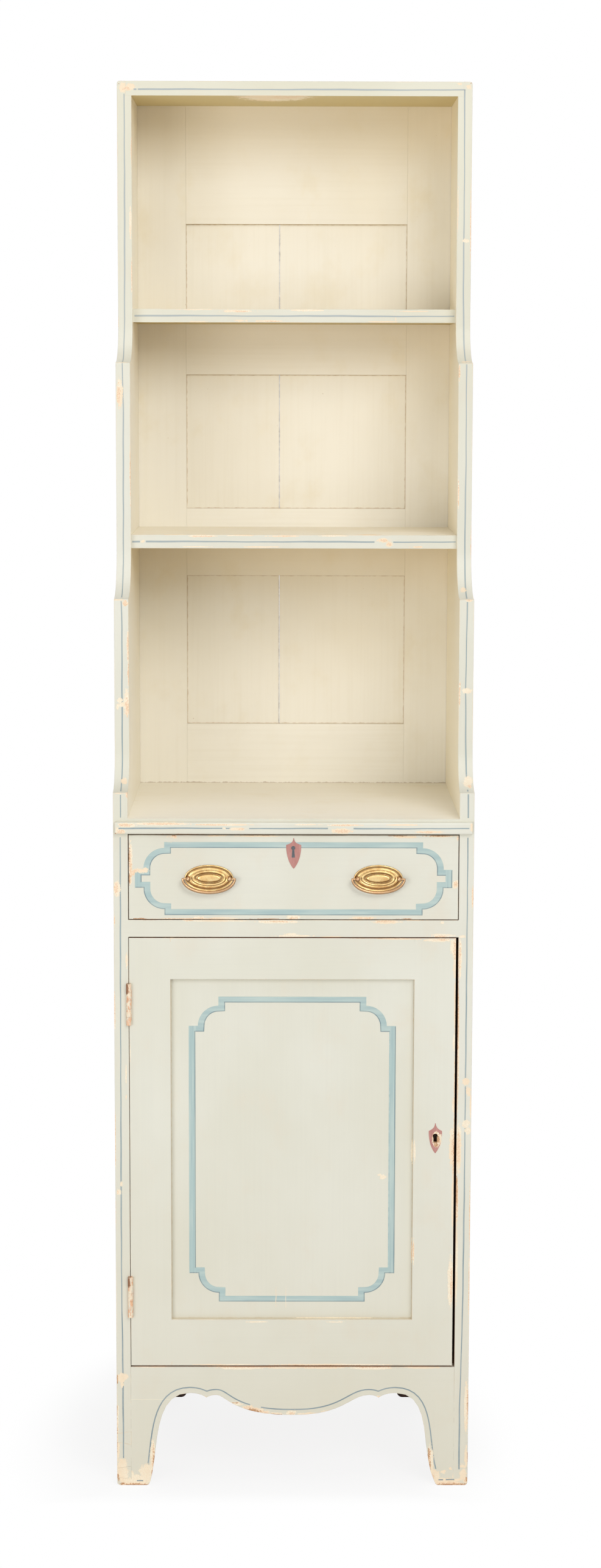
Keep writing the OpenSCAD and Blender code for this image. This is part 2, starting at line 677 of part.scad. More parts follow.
// Door frame and panel
opening_left = door_left + door_stile_w;
opening_right = door_right - door_stile_w;
opening_low = door_low + door_rail_low_h;
opening_top = door_top - door_rail_top_h;
panel_y = (door_t - door_panel_t) / 2;
tenon_set_in = 10;
module door_panel_block() block([opening_left - door_groove, panel_y, opening_low - door_groove],
    [opening_right + door_groove, panel_y + door_panel_t, opening_top + door_groove]);
module door_tenons() for (span = [[door_low + tenon_set_in, opening_low - door_groove],
    [opening_top + door_groove, door_top - tenon_set_in]])
    block([opening_left - door_tenon_l, panel_y, span[0]],
        [opening_right + door_tenon_l, panel_y + door_panel_t, span[1]]);
module door_stile_hinge() place() color(PAINT) difference() {
    block([door_left, 0, door_low], [opening_left, door_t, door_top]);
    door_panel_block();
    door_tenons();
    for (z = [hinge_low, hinge_high]) {
        leaf_recess(door_left, z);
        barrel_relief(z);
        for (s = screw_heights(z)) translate([door_left, leaf_screw_y, s])
            screw_x(hinge_screw_l, hinge_screw_d);
    }
}
module door_stile_lock() place() color(PAINT) difference() {
    block([opening_right, 0, door_low], [door_right, door_t, door_top]);
    door_panel_block();
    door_tenons();
    lock_body_block();
    selvage_block();
    keyhole(-1, door_t);
    lock_screw_rods();
}
module door_rail(low, high) difference() {
    union() {
        block([opening_left, 0, low], [opening_right, door_t, high]);
        intersection() {
            door_tenons();
            block([door_left, 0, low], [door_right, door_t, high]);
        }
    }
    door_panel_block();
}
module door_rail_top() place() color(PAINT) door_rail(opening_top, door_top);
module door_rail_bottom() place() color(PAINT) door_rail(door_low, opening_low);
module door_panel() place() color(PAINT) door_panel_block();

// Lock let into the back of the door, with a bolt that shoots into the right side board
selvage_t = 1.6;
selvage_over = 4;
key_x = door_right - key_in;
lock_right = door_right - selvage_t;
lock_left = lock_right - lock_w;
lock_y = door_t - lock_t;
lock_low = key_z - lock_h / 2;
bolt_y = lock_y + lock_t / 2;
bolt_z = key_z + bolt_up;
bolt_back = lock_left + 5;
bolt_shy = 0.4;
mortise_gap = 1;
mortise_deep = 2;
lock_margin = 6;
lock_pin_d = 2.4;
lock_screw_d = 2.6;
lock_screw_in = 4;
module lock_body_block()
    block([lock_left, lock_y, lock_low], [lock_right + EPS, door_t + 1, lock_low + lock_h]);
module selvage_block() block([lock_right, lock_y - 1, lock_low - selvage_over],
    [door_right + 1, door_t + 1, lock_low + lock_h + selvage_over]);
module keyhole(y, l) {
    rod_y(key_x, y, key_z, l, key_d);
    block([key_x - key_d * 0.35, y, key_z - key_slot], [key_x + key_d * 0.35, y + l, key_z]);
}
module lock_screw_rods() for (x = [lock_left + lock_screw_in, lock_right - lock_screw_in])
    for (z = [lock_low + lock_margin / 2, lock_low + lock_h - lock_margin / 2])
        rod_y(x, lock_y - lock_screw_in, z, lock_t + lock_screw_in, lock_screw_d);
module bolt_channel(x0, x1, gap) block([x0, bolt_y - bolt_t / 2 - gap, bolt_z - bolt_h / 2 - gap],
    [x1, bolt_y + bolt_t / 2 + gap, bolt_z + bolt_h / 2 + gap]);
module lock_case() place() color(STEEL) {
    difference() {
        union() {
            block([lock_left, lock_y, lock_low], [lock_right, door_t, lock_low + lock_h]);
            block([lock_right, lock_y - 1, lock_low - selvage_over],
                [door_right, door_t, lock_low + lock_h + selvage_over]);
        }
        block([lock_left + lock_wall, lock_y + lock_wall, lock_low + lock_margin],
            [lock_right - lock_wall, door_t - lock_wall, lock_low + lock_h - lock_margin]);
        bolt_channel(lock_right - lock_wall - 1, door_right + 1, bolt_gap);
        keyhole(lock_y - 1, lock_wall + 2);
        lock_screw_rods();
    }
    rod_y(key_x, lock_y + lock_wall, key_z, lock_t - 1.5 * lock_wall, lock_pin_d);
}
module lock_screws() place() color(STEEL) lock_screw_rods();
module lock_bolt() place() color(STEEL) bolt_channel(bolt_back, door_right - bolt_shy, 0);

// Drawer
drawer_half = half_in - drawer_side_gap;
drawer_l = back_y - drawer_back_gap;
drawer_front_low = rail_top + drawer_low_gap;
drawer_front_top = strip_low - drawer_top_gap;
drawer_side_low = rail_top + drawer_run_gap;
drawer_side_top = drawer_front_top - drawer_side_drop;
drawer_floor = drawer_side_low + drawer_bottom_up;
tail_count = 4;
tail_pitch = (drawer_side_top - drawer_front_low) / tail_count;
tail_half = tail_pitch * 0.3;
tail_spread = 2.5;
module drawer_tails() for (i = [0 : tail_count - 1]) {
    z = drawer_front_low + (i + 0.5) * tail_pitch;
    polygon([[drawer_front_t, z - tail_half], [drawer_front_t, z + tail_half],
        [drawer_front_t - drawer_lap, z + tail_half + tail_spread],
        [drawer_front_t - drawer_lap, z - tail_half - tail_spread]]);
}
module drawer_bottom_block() block([-drawer_half + drawer_side_t - drawer_groove,
    drawer_front_t - drawer_groove, drawer_floor],
    [drawer_half - drawer_side_t + drawer_groove, drawer_l, drawer_floor + drawer_bottom_t]);
back_board_in = 6;
back_board_y = drawer_l - drawer_side_t - back_board_in;
back_board_drop = 4;
back_dado = 3;
module drawer_back_block() block([-drawer_half + drawer_side_t - back_dado, back_board_y,
    drawer_floor + drawer_bottom_t],
    [drawer_half - drawer_side_t + back_dado, back_board_y + drawer_side_t,
        drawer_side_top - back_board_drop]);
module drawer_front() place() color(PAINT) difference() {
    block([-drawer_half, 0, drawer_front_low], [drawer_half, drawer_front_t, drawer_front_top]);
    both_sides() along_x(-drawer_half - EPS, drawer_side_t + EPS) drawer_tails();
    drawer_bottom_block();
    at_posts() rod_y(0, -1, 0, drawer_front_t + 2, shank_d);
}
module drawer_side() difference() {
    union() {
        block([-drawer_half, drawer_front_t, drawer_side_low],
            [-drawer_half + drawer_side_t, drawer_l, drawer_side_top]);
        along_x(-drawer_half, drawer_side_t) drawer_tails();
    }
    drawer_bottom_block();
    drawer_back_block();
}
module drawer_side_left() place() color(BARE) drawer_side();
module drawer_side_right() place() color(BARE) mirror([1, 0, 0]) drawer_side();
module drawer_back() place() color(BARE) drawer_back_block();
module drawer_bottom() place() color(BARE) drawer_bottom_block();

// Handles: plates, posts, nuts and bails
handle_z = (drawer_front_low + drawer_front_top) / 2 - handle_drop;
module at_handles() for (s = [-1, 1]) translate([s * handle_x, 0, handle_z]) children();
module at_posts() at_handles() for (s = [-1, 1]) translate([s * post_pitch / 2, 0, 0]) children();
rim_w = 3;
ring_w = 50;
ring_h = 22;
ring_band_x = 4.5;
ring_band_z = 3.4;
boss_w = 34;
boss_h = 10;
// Oval ring, from its outer width and height and its bands at the ends and along the sides
module oval_ring(w, h, band_x, band_z) difference() {
    polygon(oval(w, h));
    polygon(oval(w - 2 * band_x, h - 2 * band_z));
}
module handle_plates() place() color(BRASS) difference() {
    at_handles() {
        along_y(-plate_t, plate_t) polygon(oval(plate_w, plate_h));
        along_y(-plate_t - plate_relief, plate_relief) {
            oval_ring(plate_w, plate_h, rim_w, rim_w);
            oval_ring(ring_w, ring_h, ring_band_x, ring_band_z);
            polygon(oval(boss_w, boss_h));
        }
    }
    at_posts() rod_y(0, -plate_t - 1, 0, plate_t + 2, shank_d);
}
neck = ball_d * 0.36;
shank_past_nut = 2;
shank_l = post_reach - neck + drawer_front_t + nut_h + shank_past_nut;
pin_bore_r = bail_pin_d / 2 + pin_fit;
// Ball turned about the pivot's own axis, so that the bore is part of its outline
module post_ball() rotate([0, 90, 0]) rotate_extrude() intersection() {
    circle(d = ball_d);
    translate([pin_bore_r, -ball_d]) square([ball_d, 2 * ball_d]);
}
module handle_posts() place() color(BRASS) at_posts() {
    rod_y(0, neck - post_reach, 0, shank_l, shank_d);
    translate([0, -post_reach, 0]) post_ball();
}
module handle_nuts() place() color(BRASS) at_posts() difference() {
    translate([0, drawer_front_t, 0]) rotate([-90, 0, 0])
        cylinder(h = nut_h, d = nut_w / cos(45), $fn = 4);
    rod_y(0, drawer_front_t - 1, 0, nut_h + 2, shank_d);
}
// Rod swept along the lower half of an oval, thinner at the ears
BAIL_RINGS = 28;
BAIL_SIDES = 12;
ear_share = 0.72;
bail_half = post_pitch / 2 + ear_out;
function bail_point(a) = [bail_half * cos(a), 0, bail_drop * sin(a)];
function bail_thick(a) = bail_d / 2 * (ear_share + (1 - ear_share) * pow(sin(a), 2));
function bail_ring(a) = let (
        across = [cos(a) * bail_drop, 0, sin(a) * bail_half],
        out = across / norm(across))
    [for (k = [0 : BAIL_SIDES - 1]) let (b = 360 * k / BAIL_SIDES)
        bail_point(a) + bail_thick(a) * (cos(b) * out + sin(b) * [0, 1, 0])];
bail_points = [for (i = [0 : BAIL_RINGS]) each bail_ring(-180 * i / BAIL_RINGS)];
bail_faces = concat([[for (k = [BAIL_SIDES - 1 : -1 : 0]) k]],
    [for (i = [0 : BAIL_RINGS - 1], k = [0 : BAIL_SIDES - 1])
        let (a = i * BAIL_SIDES + k, b = i * BAIL_SIDES + (k + 1) % BAIL_SIDES)
        [a, b, b + BAIL_SIDES, a + BAIL_SIDES]],
    [[for (k = [0 : BAIL_SIDES - 1]) BAIL_RINGS * BAIL_SIDES + k]]);
ear_d = 3.4;
ear_in = 2.4;
ear_l = 4.2;
pin_start = (post_pitch - ball_d) / 2;
module bail(s) place() color(BRASS) translate([s * handle_x, -post_reach, handle_z]) {
    polyhedron(bail_points, bail_faces);
    both_sides() {
        rod_x(pin_start, 0, 0, bail_half - pin_start, bail_pin_d);
        rod_x(bail_half - ear_in, 0, 0, ear_l, ear_d);
    }
}
module bail_left() bail(-1);
module bail_right() bail(1);

side_left();
side_right();
top_board();
shelf_upper();
shelf_lower();
waist_board();
waist_moulding();
drawer_rail();
drawer_runner_left();
drawer_runner_right();
drawer_stops();
bottom_board();
cupboard_shelf();
shelf_batten_left();
shelf_batten_right();
door_stop();
apron();
front_foot_left();
front_foot_right();
rear_foot_left();
rear_foot_right();
glue_blocks();
back_stile_left();
back_stile_right();
back_rail_top();
back_rail_upper();
back_rail_lower();
back_rail_waist();
back_rail_bottom();
back_panel_upper();
back_panel_middle();
back_panel_lower();
back_panel_base();
back_nails();
hinge_upper_case_leaf();
hinge_lower_case_leaf();
hinge_pins();
hinge_screws_case();
door_stile_hinge();
door_stile_lock();
door_rail_top();
door_rail_bottom();
door_panel();
hinge_upper_door_leaf();
hinge_lower_door_leaf();
hinge_screws_door();
lock_case();
lock_screws();
lock_bolt();
drawer_front();
drawer_side_left();
drawer_side_right();
drawer_back();
drawer_bottom();
handle_plates();
handle_posts();
handle_nuts();
bail_left();
bail_right();
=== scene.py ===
import math

import bpy
from mathutils import Matrix, Vector


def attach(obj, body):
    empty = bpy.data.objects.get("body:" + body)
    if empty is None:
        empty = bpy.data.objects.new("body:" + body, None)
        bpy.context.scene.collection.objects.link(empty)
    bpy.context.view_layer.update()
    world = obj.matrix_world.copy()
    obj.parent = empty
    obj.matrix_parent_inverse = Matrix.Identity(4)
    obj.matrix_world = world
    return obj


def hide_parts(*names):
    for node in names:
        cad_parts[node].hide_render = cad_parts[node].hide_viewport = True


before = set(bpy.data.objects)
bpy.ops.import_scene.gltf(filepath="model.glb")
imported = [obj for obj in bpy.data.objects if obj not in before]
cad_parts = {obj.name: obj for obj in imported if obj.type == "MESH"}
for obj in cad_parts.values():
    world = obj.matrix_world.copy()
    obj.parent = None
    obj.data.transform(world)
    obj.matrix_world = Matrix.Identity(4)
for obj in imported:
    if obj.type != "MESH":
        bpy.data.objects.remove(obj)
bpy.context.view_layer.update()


# The studio round the cabinet: a camera nearly as high as the upper shelf, tipped slightly down,
# a pale floor that melts into a white background and keeps the soft shadow beside the feet,
# and broad soft lamps, the strongest of them high and to the right of the front.
def tint(red, green, blue):
    """A colour as it is seen on a screen, turned into the light values that the shader wants."""
    parts = [c / 255 for c in (red, green, blue)]
    return tuple(c / 12.92 if c < 0.04045 else ((c + 0.055) / 1.055) ** 2.4 for c in parts) + (1,)


def feed(socket, value):
    """Sets a socket of a node, or links a wire to it."""
    if isinstance(value, Wire):
        socket.id_data.links.new(value.socket, socket)
    else:
        socket.default_value = value


def maths(operation):
    """A method for Wire that adds a Math node to its material."""
    return lambda *values: values[0].sum(operation, *values)


class Wire:
    """One value on its way through a material: a sum written with it adds a Math node."""

    def __init__(self, socket):
        self.socket = socket

    def sum(self, operation, *values):
        made = self.socket.id_data.nodes.new("ShaderNodeMath")
        made.operation = operation
        for socket, value in zip(made.inputs, values):
            feed(socket, value)
        return Wire(made.outputs[0])

    def __rsub__(self, other):
        return self.sum("SUBTRACT", other, self)

    __add__, __sub__, __mul__ = maths("ADD"), maths("SUBTRACT"), maths("MULTIPLY")
    __gt__, __lt__, __abs__ = maths("GREATER_THAN"), maths("LESS_THAN"), maths("ABSOLUTE")
    least, most = maths("MINIMUM"), maths("MAXIMUM")
    sine, root = maths("SINE"), maths("SQRT")


FRONT = -0.1878  # the plane of the base's front, in metres


class Finish:
    """One surface's finish: its material, the place of each point in mm, and its facing."""

    def __init__(self, name, **plain):
        self.material = bpy.data.materials.new(name)
        self.material.use_nodes = True
        self.tree = self.material.node_tree
        self.shader = self.tree.nodes["Principled BSDF"]
        for socket, value in plain.items():
            self.shader.inputs[socket].default_value = value
        spot = self.node("TexCoord", {}, {}, "Object")
        self.place = self.moved(spot, (1000,) * 3, (0, -1000 * FRONT, 0))
        self.x, self.y, self.z = self.apart(self.place)
        self.side_x, self.side_y, self.side_z = self.apart(self.node("TexCoord", {}, {}, "Normal"))

    def node(self, kind, settings, values, output=0):
        made = self.tree.nodes.new("ShaderNode" + kind)
        for name, setting in settings.items():
            setattr(made, name, setting)
        for name, value in values.items():
            feed(made.inputs[name], value)
        return Wire(made.outputs[output])

    def apart(self, vector):
        first = self.node("SeparateXYZ", {}, {0: vector})
        return [Wire(socket) for socket in first.socket.node.outputs]

    def moved(self, vector, by, plus):
        """A vector times another, and then moved by a third."""
        return self.node("VectorMath", {"operation": "MULTIPLY_ADD"}, {0: vector, 1: by, 2: plus})

    def length(self, vector):
        return self.node("VectorMath", {"operation": "LENGTH"}, {0: vector}, "Value")

    def cloud(self, cycles, detail=2, start=0, output="Fac", rough=0.5):
        """Noise that repeats about so many times a millimetre, or so many along x, y and z."""
        cycles = cycles if isinstance(cycles, tuple) else (cycles,) * 3
        spot = self.moved(self.place, cycles, (start, start * 1.7, start * 0.6))
        return self.node("TexNoise", {}, {"Vector": spot, "Scale": 1, "Detail": detail,
                                          "Roughness": rough}, output)

    def ramp(self, value, start, end):
        """0 up to start, 1 from end on, and soft between them."""
        return self.node("MapRange", {"interpolation_type": "SMOOTHSTEP"},
                         {0: value, 1: start, 2: end})

    def mix(self, colour, *layers):
        """A colour with others laid over it through masks. Plain ones are as seen on a screen."""
        for mask, layer in layers:
            under, over = (c if isinstance(c, Wire) else tint(*c) for c in (colour, layer))
            colour = self.node("Mix", {"data_type": "RGBA"}, {0: mask, 6: under, 7: over}, 2)
        return colour

    def done(self, colour, roughness, height, bevel=1.2, depth=0.1, flush=None):
        """Joins colour, gloss and relief to the shader, with arrises eased by bevel mm but where
        two boards lie flush."""
        normal = self.node("Bevel", {"samples": 4}, {"Radius": bevel / 1000})
        if flush is not None:
            normal = self.node("Mix", {"data_type": "VECTOR"}, {
                0: flush, 4: normal, 5: self.node("NewGeometry", {}, {}, "Normal")}, 1)
        normal = self.node("Bump", {}, {"Strength": 1, "Distance": depth / 1000,
                                        "Height": height, "Normal": normal})
        for socket, value in (("Base Color", colour), ("Roughness", roughness), ("Normal", normal)):
            feed(self.shader.inputs[socket], value)
        return self.material


camera = bpy.data.objects.new("studio_camera", bpy.data.cameras.new("studio_camera"))
bpy.context.scene.collection.objects.link(camera)
camera.data.lens = 67.574
camera.data.sensor_width = 36
camera.data.clip_start, camera.data.clip_end = 0.05, 100
camera.matrix_world = (Matrix.Translation((-0.01404, -4.28135, 1.59411))
                       @ Matrix.Rotation(-0.00572, 4, "Z")
                       @ Matrix.Rotation(math.pi / 2 - 0.13751, 4, "X")
                       @ Matrix.Rotation(0.002376, 4, "Z"))
bpy.context.scene.camera = camera
bpy.context.scene.view_settings.view_transform = "Standard"

world = bpy.data.worlds.new("studio_white")
world.use_nodes = True
bpy.context.scene.world = world
air = world.node_tree
air.nodes.clear()
ray = air.nodes.new("ShaderNodeLightPath")
seen = Wire(ray.outputs["Is Camera Ray"]).most(Wire(ray.outputs["Is Glossy Ray"]))
seen = seen.most(Wire(ray.outputs["Is Transmission Ray"]))
room, backdrop = air.nodes.new("ShaderNodeBackground"), air.nodes.new("ShaderNodeBackground")
room.inputs["Color"].default_value = tint(250, 251, 255)
room.inputs["Strength"].default_value = 0.44
backdrop.inputs["Color"].default_value = (1, 1, 1, 1)
backdrop.inputs["Strength"].default_value = 1
either = air.nodes.new("ShaderNodeMixShader")
air.links.new(seen.socket, either.inputs[0])
air.links.new(room.outputs[0], either.inputs[1])
air.links.new(backdrop.outputs[0], either.inputs[2])
air.links.new(either.outputs[0], air.nodes.new("ShaderNodeOutputWorld").inputs[0])

for name, stand, aim, size, watts in (
        ("lamp_right", (2, -4.6, 3.9), (0, 0, 0.6), 2.6, 103),
        ("lamp_left", (-2.4, -3.8, 0.9), (0, 0, 0.8), 2.2, 50),
        ("lamp_top", (0.3, -0.9, 5.2), (0, 0, 0.9), 2.4, 34)):
    lamp = bpy.data.objects.new(name, bpy.data.lights.new(name, "AREA"))
    bpy.context.scene.collection.objects.link(lamp)
    lamp.data.size, lamp.data.energy = size, watts
    lamp.location = stand
    lamp.rotation_euler = (Vector(aim) - Vector(stand)).to_track_quat("-Z", "Y").to_euler()


def mesh_piece(name, points, faces, body, slot, *finishes, stands_for=()):
    """A piece from points in metres, which rides on a body and wears the finishes given to it. One
    that stands for CAD pieces is shaded smooth. Its slot is not used."""
    mesh = bpy.data.meshes.new(name)
    mesh.from_pydata([tuple(p) for p in points], [], faces)
    mesh.validate()
    mesh.update()
    for finish in finishes:
        mesh.materials.append(finish)
    if stands_for:
        mesh.polygons.foreach_set("use_smooth", [True] * len(mesh.polygons))
    piece = bpy.data.objects.new(name, mesh)
    bpy.context.scene.collection.objects.link(piece)
    if body is None:
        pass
    else:
        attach(piece, body)
    if stands_for:
        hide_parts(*stands_for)
    return piece


f = Finish("studio_floor", Roughness=0.9)
f.shader.inputs["Base Color"].default_value = tint(246, 246, 246)
f.shader.inputs["Specular IOR Level"].default_value = 0.1
around = f.length(f.moved(f.place, (1, 0.7, 0), (45, -132, 0)))
fade = f.ramp(around, 255, 400).most(f.ramp(f.y, -20, -85))
looked_at = f.node("LightPath", {}, {}, "Is Camera Ray")
glow = f.node("Emission", {}, {"Color": (1, 1, 1, 1), "Strength": 1})
veil = f.node("MixShader", {}, {
    0: looked_at * (fade * 0.14 + 0.86), 1: Wire(f.shader.outputs[0]), 2: glow})
feed(f.tree.nodes["Material Output"].inputs[0], veil)
mesh_piece("studio_floor", [(-9, -9, 0), (9, -9, 0), (9, 9, 0), (-9, 9, 0)], [(0, 1, 2, 3)],
           None, None, f.material)


# The two side boards, each one wide plank from the floor to the top. The front edge steps back
# three times in hollow curves. Outside and edge have the pale grey-cream paint with one thin
# blue line, the face towards the shelves is a warmer cream, and inside the base the wood is bare.
STEPS = ((1613.5, 53, 131.5, 207), (1283, 63, 54, 131.5), (1015, 51, 0, 54))


def edge_back(z):
    """How far behind the base's front plane the side boards' front edge lies at a height."""
    for start, rise, low, high in STEPS:
        if z > start:
            part = min((z - start) / rise, 1)
            return low + (high - low) * math.sqrt(part * (2 - part))
    return 0


def grain(along, long, fine):
    """Cycles a millimetre along x, y and z for streaks that run along one of them."""
    return tuple(long if axis == along else fine for axis in "xyz")


def spot(x, z, back):
    """A point in metres from mm across, up, and behind the base's front."""
    return x / 1000, back / 1000 + FRONT, z / 1000


def outer_coat(f, along):
    """Outside paint: a pale grey cream, brushed along the board, yellower and duller low down."""
    brush = f.cloud(grain(along, 0.006, 0.3), 3)
    drift = f.cloud((0.006, 0.006, 0.004), 3, 11)
    stain = f.cloud((0.016, 0.016, 0.012), 4, 31, rough=0.62)
    colour = f.mix(
        (231, 229, 214), (f.ramp(drift, 0.3, 0.7), (225, 222, 204)),
        (f.ramp(stain, 0.52, 0.8) * 0.5, (229, 219, 198)),
        (f.ramp(brush, 0.35, 0.75) * 0.07, (208, 206, 194)),
        (f.ramp(f.z, 620, -60) * 0.5, (219, 211, 188)),
        (f.ramp(f.z, 1350, 2000) * 0.45, (226, 220, 193)),
        (f.ramp(f.cloud(0.45, 2, 53), 0.765, 0.79) * 0.8, (250, 240, 220)))
    return colour, brush * 0.16 + f.cloud(0.5, 2, 71) * 0.12


def inner_coat(f, along, painted_light=0):
    """Paint inside the shelves: a warm cream, faintly soiled, with painted light and shade."""
    brush = f.cloud(grain(along, 0.006, 0.25), 3, 5)
    drift = f.cloud((0.005, 0.005, 0.004), 3, 17)
    stain = f.cloud((0.014, 0.014, 0.01), 4, 37, rough=0.62)
    # Painted shade: the top of each bay, just under the top board and under each shelf, is darker
    # and yellower.
    painted_bay_shade = (f.ramp(f.z, 1860, 1985) * 0.34).most(f.ramp(f.z, 1560, 1668) * (f.z < 1672) * 0.26)
    painted_bay_shade = painted_bay_shade.most(f.ramp(f.z, 1240, 1345) * (f.z < 1351) * 0.42)
    # Painted shade on every underside, deeper under the upper shelf and from the lower shelf down.
    below = f.side_z < -0.5
    deeper = ((abs(f.z - 1665) < 15) * 0.75).most((f.z < 1355) * 0.4)
    dirt = f.ramp(f.cloud((0.22, 0.22, 0.16), 2, 59), 0.78, 0.8)
    # Painted light: a cleaner, lighter cream with fainter stains, as much as the caller asks for.
    colour = f.mix(
        (247, 240, 222), (f.ramp(drift, 0.3, 0.7), (241, 232, 210)), (painted_light, (253, 248, 234)),
        (f.ramp(stain, 0.5, 0.78) * (1 - painted_light * 0.6) * 0.45, (236, 221, 184)),
        (f.ramp(brush, 0.4, 0.8) * 0.07, (216, 202, 168)), (painted_bay_shade, (233, 208, 156)),
        (below * 0.9, (204, 182, 118)), (below * deeper, (176, 149, 80)),
        (dirt * 0.4, (190, 165, 128)))
    return colour, brush * 0.14 + f.cloud(0.5, 2, 73) * 0.1


def bare_board(f, along, pale=(196, 160, 116), dark=(150, 112, 74)):
    """Unpainted old softwood, with long growth lines that wander a little."""
    rings = (f.cloud(grain(along, 0.0022, 0.05), 2, 3) * 95).sine()
    hair = f.cloud(grain(along, 0.02, 1.1), 2, 23)
    colour = f.mix(
        pale, (f.ramp(rings, -0.4, 1) * 0.7, dark),
        (f.ramp(hair, 0.45, 0.75) * 0.35, [c * 0.78 for c in dark]),
        (f.ramp(f.cloud((0.01, 0.01, 0.008), 3, 43), 0.45, 0.8) * 0.4, [c * 0.8 for c in dark]))
    return colour, hair * 0.8 + rings * 0.1


def worn(f, colour, relief, back=0, cream=(), peach=(), brown=(), edges=True, flush=0):
    """Rubs and chips: ovals x, z, half width, half height in mm, broken up by fine noise.

    The paint wears to a cream coat, then to a peach one, then to brown wood, in the ovals and,
    in patches, along every arris."""
    tremble = f.cloud(0.4, 3, 7, "Color", 0.62)
    wander = f.cloud(0.07, 2, 13, "Color")
    torn = {}
    for shape, wide, high in (("long", 20, 1.1), ("tall", 1.1, 16), ("round", 5, 5.4)):
        near = f.moved(tremble, (wide, 2.4, high), (-wide * 1.1, -2.6, -high * 1.1))
        near = f.moved(wander, (wide * 1.2, 2.8, high * 1.2), near)
        torn[shape] = f.moved(near, (1,) * 3, f.place)
    speck = f.cloud((0.8, 0.8, 0.55), 3, 29, rough=0.6)
    ragged = f.cloud((0.17, 0.17, 0.12), 5, 37, rough=0.7) * 0.9 + speck * 0.6 - 0.75

    def inside(spots):
        nearest = None
        for x, z, wide, high in spots:
            deep = max(1.6 * wide, 5)
            behind = back(z) if callable(back) else back
            shape = "long" if wide > 3 * high else "tall" if high > 3 * wide else "round"
            away = f.length(f.moved(torn[shape], (1 / wide, 1 / deep, 1 / high),
                                    (-x / wide, -behind / deep, -z / high)))
            nearest = away if nearest is None else nearest.least(away)
        return 1 - nearest

    bare = speck * 0
    if edges:
        bevel = f.node("Bevel", {"samples": 4}, {"Radius": 0.0022})
        facing = f.node("NewGeometry", {}, {}, "Normal")
        along = f.node("VectorMath", {"operation": "DOT_PRODUCT"}, {0: bevel, 1: facing}, "Value")
        arris = ((1 - along) * 3.4).root()
        patch = f.ramp(f.cloud((0.03, 0.03, 0.018), 3, 47), 0.42, 0.62)
        bare = f.ramp(patch * 1.5 + speck * 1.6 + arris * 2.2 - 3.4, 0, 0.3) * (1 - flush)
    if cream:
        chips = inside(cream)
        bare = bare.most(f.ramp(chips + ragged, 0.15, 0.27))
        bare = bare.most(f.ramp(speck + chips * 0.25, 0.63, 0.67))
    if peach:
        deeper = inside(peach)
        bare = bare.most(f.ramp(deeper + ragged, 0.1, 0.22))
    warm = f.ramp(f.cloud(0.013, 2, 67), 0.46, 0.56)
    colour = f.mix(colour, (bare, f.mix(
        (252, 240, 215), (f.ramp(speck, 0.4, 0.6), (246, 229, 200)),
        (warm * 0.6, (247, 222, 188)))))
    if peach:
        colour = f.mix(colour, (
            f.ramp(deeper + ragged + speck * 0.5 - 0.25, 0.2, 0.5),
            f.mix((250, 226, 196), (f.ramp(speck, 0.38, 0.66), (236, 198, 158)))))
    if brown:
        wood = inside(brown)
        deepest = f.ramp(wood + ragged, 0.3, 0.55).most(f.ramp(speck + wood * 0.2, 0.66, 0.7))
        bare = bare.most(deepest)
        colour = f.mix(colour, (deepest, f.mix(
            (221, 182, 142), (f.ramp(speck, 0.35, 0.6), (188, 140, 100)))))
    return colour, relief - bare * 0.55, bare


def aged(f, colour, relief, back=0, gloss=0.46, dull=0.2, bevel=1.2, **wear):
    """The finish of a worn coat, a little duller where it is bare."""
    colour, relief, bare = worn(f, colour, relief, back, **wear)
    return f.done(colour, bare * dull + gloss, relief, bevel, flush=wear.get("flush"))


